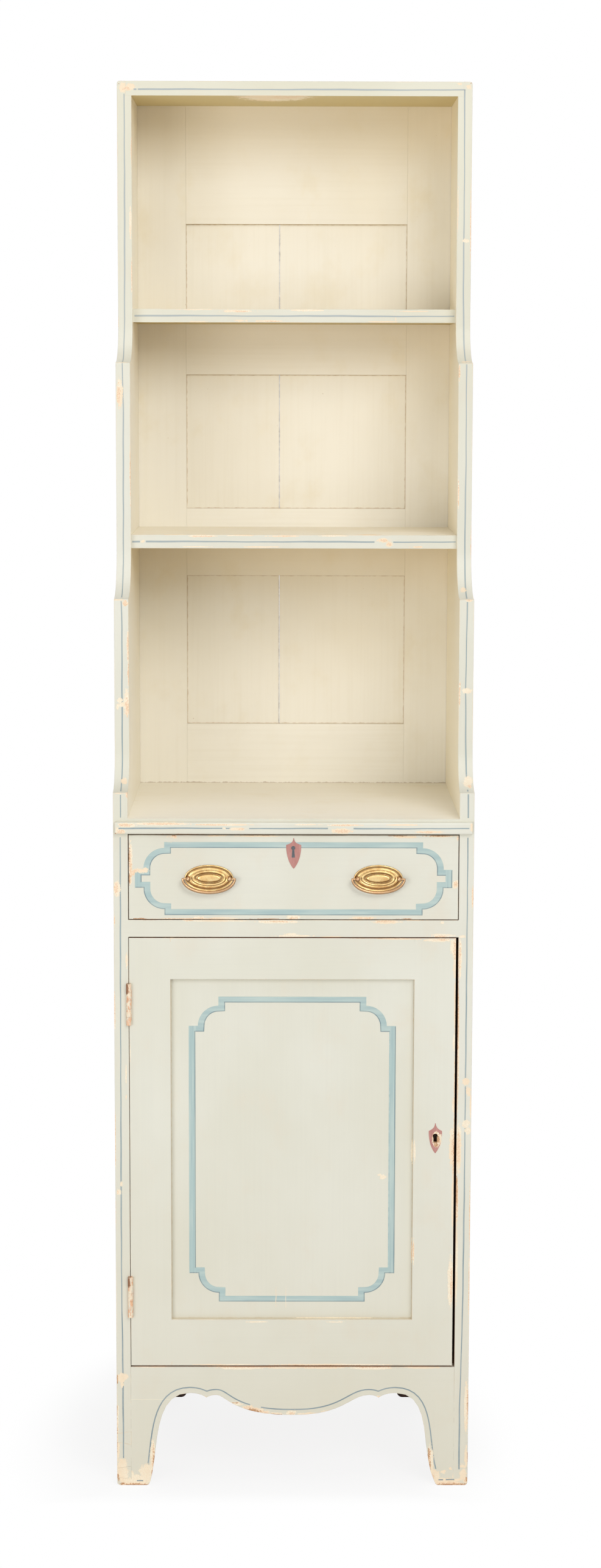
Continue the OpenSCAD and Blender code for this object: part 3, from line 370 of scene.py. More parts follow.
SIDE_WEAR = {
    -1: dict(
        cream=[
            (-244.5, 2003, 9.5, 8.5), (-235.6, 1813, 2.2, 30), (-245, 1613.5, 10, 1.3),
            (-248.2, 1570, 5.4, 26), (-246, 1281.8, 9, 1.2), (-236.5, 1137, 6, 20),
            (-247, 1140, 5, 4), (-244, 1133, 6, 4.4), (-249.6, 1130, 2.6, 7),
            (-240, 1026.4, 5.6, 7), (-243.6, 1014, 10, 1.2), (-249, 877, 6.4, 14),
            (-236, 774, 2.2, 10), (-237.8, 611, 1.3, 15), (-237.8, 578, 1.1, 5),
            (-247, 162, 7, 9), (-241, 163, 4, 5), (-247, 152, 3, 7), (-254.1, 119, 1.2, 30),
            (-246, 22, 11, 19), (-245.3, 449.6, 2, 5), (-248, 437.5, 4.4, 5), (-254, 66, 2.2, 32),
            (-243, 6, 14, 7)],
        peach=[
            (-254, 1884, 0.5, 75), (-254.4, 1672, 1.2, 14), (-234.2, 1738, 1.1, 32),
            (-234, 1916, 0.8, 24), (-250, 1568, 3.6, 20), (-234, 1454, 1.1, 51),
            (-238, 1277, 5.5, 5), (-234.4, 1215, 2.4, 30), (-234, 1179, 1.8, 21),
            (-236, 1130, 4, 16), (-234.2, 1011, 2, 6), (-250.8, 878, 4.4, 11),
            (-252.8, 834, 1.1, 9), (-253.4, 700, 1.2, 33), (-253.9, 516, 1.1, 57),
            (-254.2, 408, 1, 28), (-249.5, 437, 2, 3.6), (-243.4, 2000.5, 3, 2.4)],
        brown=[
            (-253, 160, 1.6, 12), (-254.4, 66, 1, 25), (-252.8, 12, 2.2, 12), (-244, 1, 11, 1.8),
            (-251.5, 2009, 1.6, 1.4)]),
    1: dict(
        cream=[
            (249, 2004, 4.4, 4), (246.9, 1788.4, 5.4, 3.6), (234.8, 1832, 1, 43),
            (245.4, 1615.5, 10, 1.6), (241.2, 1293.4, 5, 8.5), (245, 1154, 9.4, 4.6),
            (246.4, 1026, 8.8, 13), (238, 809.5, 7, 3), (235.6, 778, 3.4, 34),
            (234.8, 650, 1.6, 90), (246.5, 599, 6.6, 6.6), (249.5, 586, 4, 8),
            (253, 566, 1.8, 20), (246.5, 538, 8, 7.4), (249, 528, 5, 6), (236.6, 503, 4.6, 46),
            (235, 330, 2.2, 74), (251, 120, 3.6, 46), (251.5, 42, 3, 18), (247.5, 14, 6.5, 13)],
        peach=[
            (253.2, 1810, 0.9, 62), (234.7, 1600, 1.6, 10), (235, 1429, 1.4, 26),
            (254, 1362, 1.1, 32), (247, 1282, 6, 2.4), (234.7, 1148, 1.5, 20), (249, 1021, 4, 8),
            (252.8, 868, 1.6, 17), (235.2, 782, 2.6, 26), (234.4, 640, 0.9, 110),
            (236, 505, 3.2, 34), (235, 425, 2.2, 40), (253.4, 400, 1.2, 60),
            (253.4, 300, 1.3, 60), (252.4, 122, 1.8, 38), (251, 8, 5, 6)],
        brown=[
            (234, 700, 0.8, 100), (234.4, 440, 1.6, 46), (253.8, 123, 1.1, 40),
            (253.6, 44, 1.3, 14), (248, 1.2, 9, 2.4), (252, 2009, 1, 1)])}


def side_finish(name, hand):
    """The side board's three zones, with the wear of its own front edge."""
    f = Finish(name)
    outside, relief = outer_coat(f, "z")
    # Painted light and shade on the inner face: the lightest inside paint, tinted yellower, much
    # more on the right board, which faces away from the strongest lamp.
    inside = f.mix(inner_coat(f, "z", 1)[0], (0.5 if hand > 0 else 0.1, (248, 234, 196)))
    within = (f.x * hand < 233.8) * (f.side_x * hand < -0.5)
    colour = f.mix(outside, (within, inside))
    within = (within * (f.z < 958)).most((f.side_y > 0.8) * (f.y > 360))
    colour = f.mix(colour, (within, bare_board(f, "z")[0]))
    notch = (abs(f.z - 821.5) < 15).most(abs(f.z - 967.5) < 12.5) * (f.x * hand < 246)
    tails = (f.z < 124) * (f.z > (100 if hand < 0 else 0)) * (f.x * hand < 251)
    notch = notch.most(tails) * (f.y < 3)
    colour, relief, bare = worn(f, colour, relief, edge_back, flush=notch, **SIDE_WEAR[hand])
    crack = f.ramp(abs(f.x * hand - 233.6), 0.5, 0.1) * (f.y > 371)
    return f.done(f.mix(colour, (crack * 0.5, (120, 90, 60))),
                  bare * 0.2 + within * 0.25 + 0.46, relief, flush=notch)


def dress(material, *nodes):
    """Gives CAD pieces their finish."""
    for node in nodes:
        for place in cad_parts[node].material_slots:
            place.material = material


for hand, name in ((-1, "side_left"), (1, "side_right")):
    dress(side_finish(name + "_paint", hand), name)


def ribbon(name, rows, body, *finishes, closed=False, dark=None):
    """A thin painted stroke: rows of points across it with their outward direction.

    It stands 0.15 mm proud of the surface and is sunk 0.1 mm below it."""
    width = len(rows[0][0])
    points, faces, kinds = [], [], []
    for across, outward in rows:
        points += [Vector(p) + outward * 0.00015 for p in across]
        points += [Vector(p) - outward * 0.0001 for p in across]
    count = len(rows)
    for i in range(count if closed else count - 1):
        a, b = 2 * width * i, 2 * width * ((i + 1) % count)
        for k in range(width - 1):
            faces.append((a + k, a + k + 1, b + k + 1, b + k))
            kinds.append(dark(i, k) if dark else 0)
            faces.append((b + width + k, b + width + k + 1, a + width + k + 1, a + width + k))
            kinds.append(0)
        faces += [(a + width, a, b, b + width), (b + 2 * width - 1, b + width - 1,
                                                a + width - 1, a + 2 * width - 1)]
        kinds += [0, 0]
    if not closed:
        last = 2 * width * (count - 1)
        faces.append(tuple(range(width)) + tuple(range(2 * width - 1, width - 1, -1)))
        faces.append(tuple(range(last + width - 1, last - 1, -1))
                     + tuple(range(last + width, last + 2 * width)))
        kinds += [0, 0]
    piece = mesh_piece(name, points, faces, body, "exterior_paint", *finishes)
    if len(finishes) > 1 and len(piece.data.polygons) == len(kinds):
        piece.data.polygons.foreach_set("material_index", kinds)


def line_finish(name, back=0, **wear):
    """The thin blue-grey line: one stroke of a fine brush, here fuller and there drier."""
    f = Finish(name)
    dry = f.cloud((0.05, 0.05, 0.03), 3, 19)
    hair = f.cloud(0.9, 2, 61)
    colour = f.mix(
        (136, 152, 157), (f.ramp(dry, 0.35, 0.65), (156, 168, 170)),
        (f.ramp(f.z, 130, 520) * 0.55, (168, 181, 180)),
        (f.ramp(f.z, 1180, 1560) * 0.6, (190, 193, 192)),
        (f.ramp(hair, 0.5, 0.8) * 0.25, (200, 203, 193)))
    return aged(f, colour, hair * 0.3, back, 0.5, bevel=0.2, edges=False, **wear)


LINE_RUNS = {
    -1: [(1994, 979.6), (951.6, 41)],
    1: [(2000.3, 1031.5), (1017.5, 979.6), (951.6, 604), (593, 24)]}
LINE_PATH = {
    -1: [(2012, -243.6), (1880, -243.7), (1797, -244), (1719, -244.5), (1641, -245.3),
         (1553, -243.3), (1481, -243.7), (1403, -244.1), (1320, -244.6), (1242, -242.8),
         (1159, -243.3), (1015, -243.3), (922, -244.3), (843, -244.4), (759, -244.9),
         (680, -245.1), (440, -245.8), (283, -245.9), (207, -245), (59, -244.7), (0, -244.7)],
    1: [(2012, 242.9), (1963, 243), (1881, 243.7), (1721, 243.7), (1648, 244.9),
        (1559, 244.9), (1477, 245.4), (1399, 244.9), (1321, 244.9), (1238, 244.1),
        (1160, 243.3), (1076, 244.2), (1011, 245.3), (750, 245.4), (430, 245.2),
        (309, 244.7), (263, 244.4), (174, 242.8), (119, 241.5), (0, 241.6)]}


def line_across(path, z):
    """The place of a hand-drawn line at a height, between the heights where it is known."""
    for (high, a), (low, b) in zip(path, path[1:]):
        if low <= z <= high:
            return a + (b - a) * (high - z) / (high - low)
    return path[-1][1]


for hand, name in ((-1, "left"), (1, "right")):
    finish = line_finish(f"side_line_{name}_paint", edge_back, **SIDE_WEAR[hand])
    for k, (high, low) in enumerate(LINE_RUNS[hand]):
        rows = []
        steps = int((high - low) / 4)
        for i in range(steps + 1):
            z = high + (low - high) * i / steps
            y, ahead, behind = edge_back(z), edge_back(z - 0.8), edge_back(z + 0.8)
            outward = Vector((0, -1.6, behind - ahead)).normalized()
            x = line_across(LINE_PATH[hand], z) + 0.12 * math.sin(z / 11)
            half = 0.86 + 0.16 * math.sin(z / 53 + hand)
            rows.append(([spot(x - half, z, y), spot(x + half, z, y)], outward))
        ribbon(f"side_line_{name}_{k + 1}", rows, "carcass", finish)


# The top board and the two shelves between the sides. Their front edges carry the same grey-cream
# paint and blue line as the sides, and the rest of them the warm cream of the inside.
HOUSED = 232  # where the housings in the side boards begin, in mm from the middle


def shelf_finish(name, front, topmost=False, painted_light=0, **wear):
    """Outside paint on the front edge, and on the topmost board's top and ends, inside paint on
    the rest."""
    f = Finish(name)
    outside, relief = outer_coat(f, "x")
    shown = (f.side_y < -0.5) * (f.y < front + 2)
    if topmost:
        shown = shown.most(f.side_z > 0.5).most(abs(f.side_x) > 0.5)
    colour = f.mix(inner_coat(f, "x", painted_light)[0], (shown, outside))
    return aged(f, colour, relief, front, 0.47, flush=abs(f.x) > HOUSED, **wear)


dress(shelf_finish(
    "top_board_paint", 207, True,
    cream=[(-236, 2003, 9, 6), (-30, 1991.4, 66, 1), (236, 2010, 4, 2)],
    peach=[(-240, 2001, 5, 4), (-12, 1991, 40, 0.8)]), "top_board")
dress(shelf_finish(
    "upper_shelf_paint", 225,
    cream=[
        (-84, 1688, 28, 2.2), (20, 1689.5, 32, 1.8), (171, 1688.3, 29, 1.1),
        (-143, 1690.2, 33, 1), (-139, 1672.6, 17, 1.2), (-78, 1674.4, 9, 2),
        (-37, 1674, 25, 1.7), (129.5, 1673.2, 29, 1.4), (147.2, 1676, 0.9, 3.6)],
    peach=[(-80, 1687.6, 12, 1.4), (-30, 1673.6, 16, 1)]), "shelf_upper")
dress(shelf_finish(
    "lower_shelf_paint", 139.5,
    cream=[
        (-132, 1367.4, 26, 2.2), (-171, 1369, 16, 1), (-75, 1368.2, 24, 1.3),
        (-16.6, 1367.3, 30, 1.8), (56, 1368, 27, 1.5), (107, 1369, 20, 0.9),
        (129, 1361.8, 13.5, 3.8), (136.5, 1355, 6.4, 5.2), (176, 1352, 10, 1.8),
        (-47, 1351.8, 34, 1.4), (-140, 1352, 26, 1), (-217, 1360, 3.6, 2)],
    peach=[
        (-128, 1367, 20, 1.2), (-14, 1367.4, 16, 1), (130, 1361.4, 10, 2.6),
        (136.5, 1355, 4.6, 3.6), (176, 1352, 7, 1.1)]), "shelf_lower")
# The waist board's top has the lightest inside paint: painted light on the floor of the lowest bay.
dress(shelf_finish("waist_board_paint", 0, painted_light=1), "waist_board")


def level_line(name, runs, height, half, back, finish):
    """A blue line along a level front edge, drawn by hand in one or more strokes."""
    for k, (start, end) in enumerate(runs):
        rows = []
        steps = max(2, int((end - start) / 6))
        for i in range(steps + 1):
            x = start + (end - start) * i / steps
            z = height + 0.22 * math.sin(x / 31) + 0.12 * math.sin(x / 9)
            thick = half * (1 + 0.2 * math.sin(x / 43))
            rows.append(([spot(x, z + thick, back), spot(x, z - thick, back)], Vector((0, -1, 0))))
        ribbon(f"{name}_{k + 1}", rows, "carcass", finish)


shelf_lines = line_finish("shelf_line_paint")
level_line("top_line", [(-230, -226), (-224, 243.9)], 2000.4, 0.95, 207, shelf_lines)
level_line("upper_shelf_line", [(-231.5, 232)], 1681.2, 1, 225, shelf_lines)
level_line("lower_shelf_line", [(-232, -221), (-212.5, 115.5), (142.5, 232)], 1359.3, 1, 139.5,
           shelf_lines)


# The framed back, let into rebates behind the shelves: two stiles, five rails and four thin
# panels of two boards each, all cream in front and bare aged softwood behind.
def inside_frame(f, left, right, low, high):
    """How far a point lies inside an opening, in mm."""
    return (f.x - left).least(right - f.x).least(high - f.z).least(f.z - low)


def back_finish(name, along, opening=None):
    """Cream in front, bare behind, with brownish dirt where a panel meets its frame."""
    f = Finish(name)
    # Painted light: the back of each bay is lighter low down, where the lamps reach in under the
    # shelf above, a little less on the panels than on the frame.
    low, middle = (0.75, 0.5) if opening else (1, 1)
    painted_light = (f.ramp(f.z, 1230, 1060) * low).most(f.ramp(f.z, 1850, 1730) * (f.z > 1691) * 0.7)
    painted_light = painted_light.most(f.ramp(f.z, 1600, 1430) * (f.z > 1369) * middle)
    inside, relief = inner_coat(f, along, painted_light)
    behind = (f.side_y > 0.3).most(f.z < 957).most((f.y > 380) * (f.side_y > -0.3))
    foot = (f.z > 977) * f.ramp(f.z - f.cloud(0.2, 3, 33) * 5, 977.2, 975.8)
    colour = f.mix(inside, (behind, bare_board(f, along, (170, 134, 96), (122, 90, 60))[0]),
                   (foot * 0.5, (160, 128, 86)))
    if opening:
        speck = f.cloud(0.12, 3, 41)
        grime = f.ramp(inside_frame(f, *opening) - speck * 3.4, 0.2, -1.8)
        joint = f.ramp(abs(f.x + 21.5) - speck * 1.2, 0.5, -0.4)
        colour = f.mix(colour, (grime * 0.6, (190, 156, 112)), (joint * 0.9, (120, 92, 60)))
    return f.done(colour, 0.5, relief)


dress(back_finish("back_frame_paint", "z"), "back_stile_left", "back_stile_right")
dress(back_finish("back_rail_paint", "x"),
      *("back_rail_" + place for place in ("top", "upper", "lower", "waist", "bottom")))
for node, low, high in (("back_panel_upper", 1691, 1819.5), ("back_panel_middle", 1396.5, 1597),
                        ("back_panel_lower", 1069, 1295.5), ("back_panel_base", 255, 957)):
    dress(back_finish(node + "_paint", "z", (-161.5, 169, low, high)), node)


# The drawer rail, the strip planted along the waist board, the shaped apron and the two front
# feet dovetailed to the side boards: all outside paint, most worn along edges and near the floor.
RAIL_WEAR = dict(
    cream=[
        (-106, 832.4, 52, 1.7), (-23, 831.2, 37, 3.2), (132, 831, 24, 3.4), (171, 833, 19, 1),
        (210, 830.4, 3.6, 3), (0, 810.6, 36, 2.3), (-5, 812.6, 9.5, 3), (52, 809.6, 19, 1.1),
        (209, 811.4, 22, 3.4)],
    peach=[
        (-150, 832.8, 10, 1.6), (-20, 831.4, 26, 1.6), (132, 831.4, 17, 2), (209, 810.4, 16, 1.6)],
    brown=[(-205, 833.8, 30, 0.9), (120, 834, 40, 0.4)])
f = Finish("drawer_rail_paint")
coat, relief = outer_coat(f, "x")
coat = f.mix(coat, ((f.y > 3).most(f.side_y > -0.5), bare_board(f, "x")[0]))
dress(aged(f, coat, relief, flush=abs(f.x) > HOUSED, **RAIL_WEAR), "drawer_rail")

STRIP_WEAR = dict(
    cream=[
        (-234, 970, 16, 4), (-186, 971.8, 50, 2.8), (-97.5, 970.8, 46, 2), (18, 971, 24, 1.3),
        (70.5, 970.4, 31, 1.8), (153, 970.8, 28, 1.5), (-246.5, 962.6, 5.6, 6),
        (-242, 959, 9, 2.2), (-98.2, 965.2, 2.4, 1.6), (-77, 964.8, 13.5, 2.8),
        (66, 962, 18.5, 4.6), (190, 960.6, 22.5, 2.5), (250.4, 965, 2.8, 8.6)],
    peach=[
        (-238, 970, 12, 3), (-185, 972, 40, 1.8), (-110, 970.6, 30, 1.2), (70, 970.2, 22, 1),
        (-243, 961, 8, 4.5), (-72, 964.6, 7, 1.8), (66, 961.8, 15, 3.2), (186, 960.4, 15, 1.5)],
    brown=[(-155, 957, 58, 0.8), (-249, 958, 5, 1.6)])
STRIP_BACK = -8  # the strip stands 8 mm proud
f = Finish("waist_strip_paint")
dress(aged(f, *outer_coat(f, "x"), STRIP_BACK, bevel=1, **STRIP_WEAR), "waist_moulding")
level_line("strip_line", [(-246, -100.5), (-95.5, -89), (-62.5, 48), (84, 246.5)], 965.6, 0.95,
           STRIP_BACK, line_finish("strip_line_paint", STRIP_BACK, cream=STRIP_WEAR["cream"][8:10],
                                   peach=STRIP_WEAR["peach"][5:6]))

FOOT_JOINT = 129  # the height of the joint between a front foot and the apron


def foot_joint_dirt(f, colour):
    """Hairlines that show through the paint: the foot's joint and the dovetails' outlines."""
    wave = f.cloud(0.08, 2, 83)
    across = abs(f.z - FOOT_JOINT + wave * 1.2 - 0.6)
    joint = f.ramp(across, 0.7, 0.2) * (f.x < -100) * (f.side_y < -0.5)
    upright = f.ramp(abs(abs(f.x) - 233.6), 0.6, 0.15) * (f.side_y < -0.5)
    return f.mix(colour, (joint * 0.5, (246, 236, 208)),
                 (upright * f.ramp(wave, 0.42, 0.52) * 0.25, (170, 158, 134)))


APRON_WEAR = dict(
    cream=[
        (-203, 177.7, 30, 1), (-76, 176.4, 40, 2.8), (-8, 177, 34, 2.2), (45, 176.8, 36, 2),
        (112, 176.4, 40, 2.8), (185, 177.2, 32, 1.9), (-84, 123, 12, 3.2), (-64, 116.6, 11, 5),
        (-52, 112.6, 12, 5.4), (-26, 107.6, 20, 2.6), (-1, 109.4, 9, 4.4), (27, 107.4, 24, 2.6),
        (52, 110.6, 14, 2.8), (-130, 133, 8.6, 2.2), (124, 133.4, 11.5, 2.2)],
    peach=[
        (-62, 178.2, 66, 1.7), (40, 178.2, 60, 1.3), (112, 178, 36, 1.8), (-64, 116.4, 10, 4.4),
        (-54, 113, 11, 4.8), (-42, 109.6, 10, 3.6), (-1, 108.6, 6, 2.6), (-130, 132.6, 6, 1.4),
        (124, 133, 9, 1.4)],
    brown=[
        (-57, 111.4, 14, 1.8), (-30, 106.8, 26, 1.2), (-85, 124, 9, 1.3), (-60, 113.6, 11, 2.4),
        (40, 178.8, 160, 0.35)])
f = Finish("apron_paint")
coat, relief = outer_coat(f, "x")
coat = f.mix(foot_joint_dirt(f, coat), ((f.side_y > 0.5).most(f.y > 17), bare_board(f, "x")[0]))
flat = (abs(f.z - FOOT_JOINT) < 3) * (abs(f.x) > 150)
dress(aged(f, coat, relief, flush=flat, **APRON_WEAR), "apron")

FOOT_WEAR = {
    -1: dict(
        cream=[
            (-202, 40, 5, 34), (-210, 21, 15, 13), (-240, 12, 14, 16), (-224, 8, 24, 9),
            (-204, 14, 9, 18), (-247, 26, 10, 18), (-253.2, 112, 2.4, 40), (-252.8, 60, 3.2, 32)],
        peach=[(-201.4, 38, 3, 28), (-228, 1.6, 26, 2.6), (-201, 18, 3, 12), (-254, 90, 0.8, 50)],
        brown=[
            (-254, 66, 1.5, 27), (-254, 118, 1.3, 26), (-200.4, 36, 2.4, 24), (-203.4, 14, 2, 10),
            (-226, 0.8, 28, 2.4), (-252, 12, 2.4, 12), (-247, 2, 8, 2.6)]),
    1: dict(
        cream=[
            (200.6, 34, 4.8, 28), (207, 13, 9, 14), (222, 5, 24, 7.4), (246, 20, 8, 15),
            (219, 20, 4.6, 3), (229, 25, 3, 2.4), (238, 12, 8, 8)] + SIDE_WEAR[1]["cream"][-3:-1],
        peach=[(198.6, 40, 2.6, 22), (226, 2.6, 26, 3.2), (204, 12, 2.6, 8)]
        + SIDE_WEAR[1]["peach"][-2:],
        brown=[(197.4, 45, 2.6, 13), (199.4, 26, 1.8, 14), (225, 1.1, 28, 2.4), (252.4, 12, 2, 12)]
        + SIDE_WEAR[1]["brown"][2:5])}
for hand, node in ((-1, "front_foot_left"), (1, "front_foot_right")):
    f = Finish(node + "_paint")
    coat, relief = outer_coat(f, "z")
    coat = f.mix(foot_joint_dirt(f, coat),
                 ((f.side_y > 0.5).most(f.side_z < -0.9), bare_board(f, "z")[0]))
    tails = (f.z < 124) * (f.z > (100 if hand < 0 else 0)) * (abs(abs(f.x) - 241.5) < 10)
    flat = ((abs(f.z - FOOT_JOINT) < 3) * (abs(f.x) > 150)).most(tails) * (f.side_y < -0.5)
    coat, relief, bare = worn(f, coat, relief, flush=flat, **FOOT_WEAR[hand])
    dress(f.done(coat, bare * 0.2 + 0.46, relief, flush=flat * 0.8), node)


# The blue line that follows the shaped lower edge of apron and feet, 8 mm inside it, meeting in
# points above the two cusps, with short dashes across the soles of the feet.
def bend(points, steps):
    """Points along a cubic curve given by its ends and its two handles."""
    a, b, c, d = (Vector(p) for p in points)
    out = []
    for i in range(steps + 1):
        t = i / steps
        out.append(a * (1 - t) ** 3 + b * 3 * t * (1 - t) ** 2 + c * 3 * t * t * (1 - t)
                   + d * t ** 3)
    return out


def inset(path, wide, high=None, closed=False):
    """A path moved to its left, with mitred corners: so many mm across and so many up."""
    out = []
    for i, p in enumerate(path):
        before = p - path[i - 1] if i or closed else path[1] - p
        after = path[(i + 1) % len(path)] - p if closed or i + 1 < len(path) else before
        before, after = before.normalized(), after.normalized()
        left = Vector((-before.y - after.y, before.x + after.x))
        left = left.normalized() if left.length > 1e-6 else Vector((-after.y, after.x))
        cosine = max(0.3, left.dot(Vector((-after.y, after.x))))
        out.append(p + Vector((left.x * wide, left.y * (high or wide))) / cosine)
    return out


# The pulls of the curves in the left and the right half of that edge.
HALVES = {-1: ((61, 52.5), (50.5, 139), 13.5, 86), 1: ((70, 51), (49, 139), 26.5, 74)}


def contour(hand, distance, low):
    """The line's middle, from the foot to the middle of the apron."""
    first_pull, second_pull, pull, settle = HALVES[hand]
    edge = []
    for part in (((48, 6), first_pull, second_pull, (105.5, 139)),
                 ((105.5, 139), (114, 139), (123, 137), (129.7, 132)),
                 ((129.7, 132), (134, 135), (139, 136), (144, 136)),
                 ((144, 136), (144 + pull, 136), (254 - settle, 105), (254, 106))):
        edge += bend(part, 18)[1 if edge else 0:]
    kept = []
    for i, p in enumerate(inset(edge, distance)):
        first, last = (0, 129.7) if i < 36 else (129.7, 260)
        if first <= p.x <= last and low < p.y:
            kept.append(p)
    return [Vector((hand * (254 - p.x), p.y)) for p in kept]


def flat_stroke(name, path, half, finish):
    """A brush stroke of even width on a level-fronted face, along points x, z in mm."""
    left, right = inset(path, half), inset(path, -half)
    rows = []
    for a, b in zip(left, right):
        rows.append(([spot(p.x, p.y, 0) for p in (a, b)], Vector((0, -1, 0))))
    ribbon(name, rows, "carcass", finish)


contour_paint = line_finish(
    "apron_line_paint", cream=FOOT_WEAR[-1]["cream"][:4] + FOOT_WEAR[1]["cream"][:2]
    + APRON_WEAR["cream"][10:11], peach=APRON_WEAR["peach"][3:4])
path = contour(-1, 8.2, 14) + contour(1, 8.2, 19)[::-1][1:]
for k, run in enumerate(([p for p in path if p.x < -57], [p for p in path if p.x > -46])):
    flat_stroke(f"apron_line_{k + 1}", run, 0.86, contour_paint)
for name, start, end, z in (("left", -225.5, -216.5, 6.6), ("right_1", 212, 218.6, 8.1),
                            ("right_2", 222.6, 235, 8.4)):
    flat_stroke("foot_dash_" + name, [Vector((start, z)), Vector(((start + end) / 2, z + 0.15)),
                                      Vector((end, z))], 0.8, shelf_lines)


# Inside the base: drawer runners and stops, the cupboard's bottom board, shelf and battens, the
# door stop, the glue blocks behind the apron, and the dark rear feet cut from unpainted scrap.
softwood = {}
for along in "xyz":
    f = Finish("bare_softwood_" + along)
    wood, relief = bare_board(f, along)
    softwood[along] = f.done(wood, 0.62, relief)
dress(softwood["y"], "drawer_runner_left", "drawer_runner_right", "shelf_batten_left",
      "shelf_batten_right")
dress(softwood["x"], "drawer_stops", "bottom_board", "cupboard_shelf", "glue_blocks")
dress(softwood["z"], "door_stop")
f = Finish("rear_foot_wood")
wood, relief = bare_board(f, "z", (74, 48, 38), (44, 27, 22))
dress(f.done(wood, 0.55, relief), "rear_foot_left", "rear_foot_right")

f = Finish("old_iron", Metallic=0.85)
rust = f.cloud(0.3, 3, 3)
dress(f.done(f.mix((92, 84, 78), (f.ramp(rust, 0.4, 0.65), (112, 70, 46))), rust * 0.3 + 0.42,
             rust, 0.3), "back_nails", "hinge_pins", "hinge_screws_case", "hinge_screws_door",
      "lock_case", "lock_screws", "lock_bolt", "handle_nuts")


# The door: stiles and rails with a sunk flat panel, painted outside with grey cream. The panel
# has a light blue band with stepped round corners, and the lock stile a dull red shield round
# the worn keyhole.
DOOR_WEAR = dict(
    cream=[
        (205, 804.8, 28, 3), (226.5, 794, 6, 14), (228.8, 768, 3, 22), (229.2, 712, 1.8, 44),
        (228.8, 655, 2.8, 18), (229.6, 610, 1.4, 40), (228.8, 566, 3, 18), (227, 503, 5.2, 36),
        (228.8, 425, 2.4, 55), (226.6, 306, 5, 46), (150, 806.4, 40, 1.2), (-188.9, 807, 32, 0.8),
        (173.4, 497, 1.9, 20), (173.2, 348, 1.3, 22), (-52, 245.4, 20, 1.4), (64, 245.4, 14, 1.2),
        (-100, 181.4, 60, 1.2), (60, 181.4, 110, 1.6), (-232, 640, 1, 20)],
    peach=[
        (228.6, 790, 3.4, 20), (228.4, 505, 3.2, 24), (229.4, 480, 2.2, 20), (228, 300, 2.4, 32),
        (212, 805.8, 16, 2), (229.9, 560, 1.2, 90), (172.9, 350, 1.5, 20), (204, 515.8, 9, 15)],
    brown=[
        (120, 807.4, 70, 0.4), (230.4, 700, 0.9, 100), (229.9, 500, 1.4, 30),
        (40, 180.4, 120, 0.5), (206.5, 516, 4.5, 8), (204, 507, 4.5, 4)])


def door_finish(name, along, **wear):
    """Outside paint, cream inside, tan in the panel's reveal, bare wood round the door's edges."""
    f = Finish(name)
    outside, relief = outer_coat(f, along)
    edge = (abs(f.x) > 229).most(f.z > 806).most(f.z < 181.5) * (abs(f.side_y) < 0.5)
    colour = f.mix(outside, (f.side_y > 0.5, inner_coat(f, along)[0]),
                   ((abs(f.side_y) < 0.5) * 0.35, (214, 192, 154)),
                   (edge, bare_board(f, along, (206, 148, 104), (150, 96, 62))[0]))
    joint = (abs(f.x + 1.35) > 170).least(abs(f.x + 1.35) < 175.6)
    joint = joint * (abs(f.z - 498.4) > 249.8) * (abs(f.z - 494) < 308)
    return aged(f, colour, relief, 0, 0.45, flush=joint, **wear)


dress(door_finish("door_hinge_stile_paint", "z", cream=DOOR_WEAR["cream"][-1:]),
      "door_stile_hinge")
dress(door_finish("door_lock_stile_paint", "z", **DOOR_WEAR), "door_stile_lock")
dress(door_finish("door_rail_paint", "x", **DOOR_WEAR), "door_rail_top", "door_rail_bottom")

PANEL_BACK = 6.75
SCRATCHES = [(-24.2, 280, 0.55, 20), (-10, 279, 0.45, 22)]
PANEL_WEAR = dict(
    cream=[(129.5, 458, 6, 3.6), (124, 461, 4, 1.6), (170.4, 497, 2.2, 22), (60, 249.4, 70, 1.1)]
    + SCRATCHES, peach=[(171, 348, 1.4, 22)])
f = Finish("door_panel_paint")
coat, relief = outer_coat(f, "z")
reach = inside_frame(f, -174.2, 171.5, 248.8, 748)
speck = f.cloud(0.12, 4, 41, rough=0.62)
# Within 9 mm of the frame the sunk panel is a little darker: painted shade at its edges.
coat = f.mix(coat, (f.side_y > 0.5, inner_coat(f, "z")[0]),
             (f.ramp(reach - speck * 3, 0.3, -1.6) * 0.6, (200, 176, 138)),
             (f.ramp(reach, 9, 0) * 0.18, (206, 200, 180)))
dress(aged(f, coat, relief, PANEL_BACK, 0.45, **PANEL_WEAR), "door_panel")


def band_finish(name, back, dark, side, **wear):
    """The broad stroke of the bands, thin light blue paint or the darker stroke at its rim, brushed
    level between the uprights, which stand further out than side mm."""
    f = Finish(name)
    upright = abs(f.x) > side
    brush = f.cloud((0.012, 0.3, 0.16), 3, 67) * (1 - upright)
    brush = brush + f.cloud((0.35, 0.3, 0.01), 3, 68) * upright
    if dark:
        colour = f.mix((129, 148, 152), (f.ramp(brush, 0.35, 0.65), (157, 173, 170)))
    else:
        colour = f.mix((170, 192, 190), (f.ramp(brush, 0.3, 0.7), (193, 209, 202)),
                       (f.ramp(f.cloud(0.02, 2, 79), 0.4, 0.7) * 0.5, (176, 199, 195)))
    return aged(f, colour, brush * 0.4, back, 0.48, 0.15, 0.2, edges=False, **wear)


def quarter(x, z, radius, first, last, steps=16):
    """Points on a part of a circle between two angles in degrees."""
    turns = [math.radians(first + (last - first) * i / steps) for i in range(steps + 1)]
    return [Vector((x + radius * math.cos(a), z + radius * math.sin(a))) for a in turns]


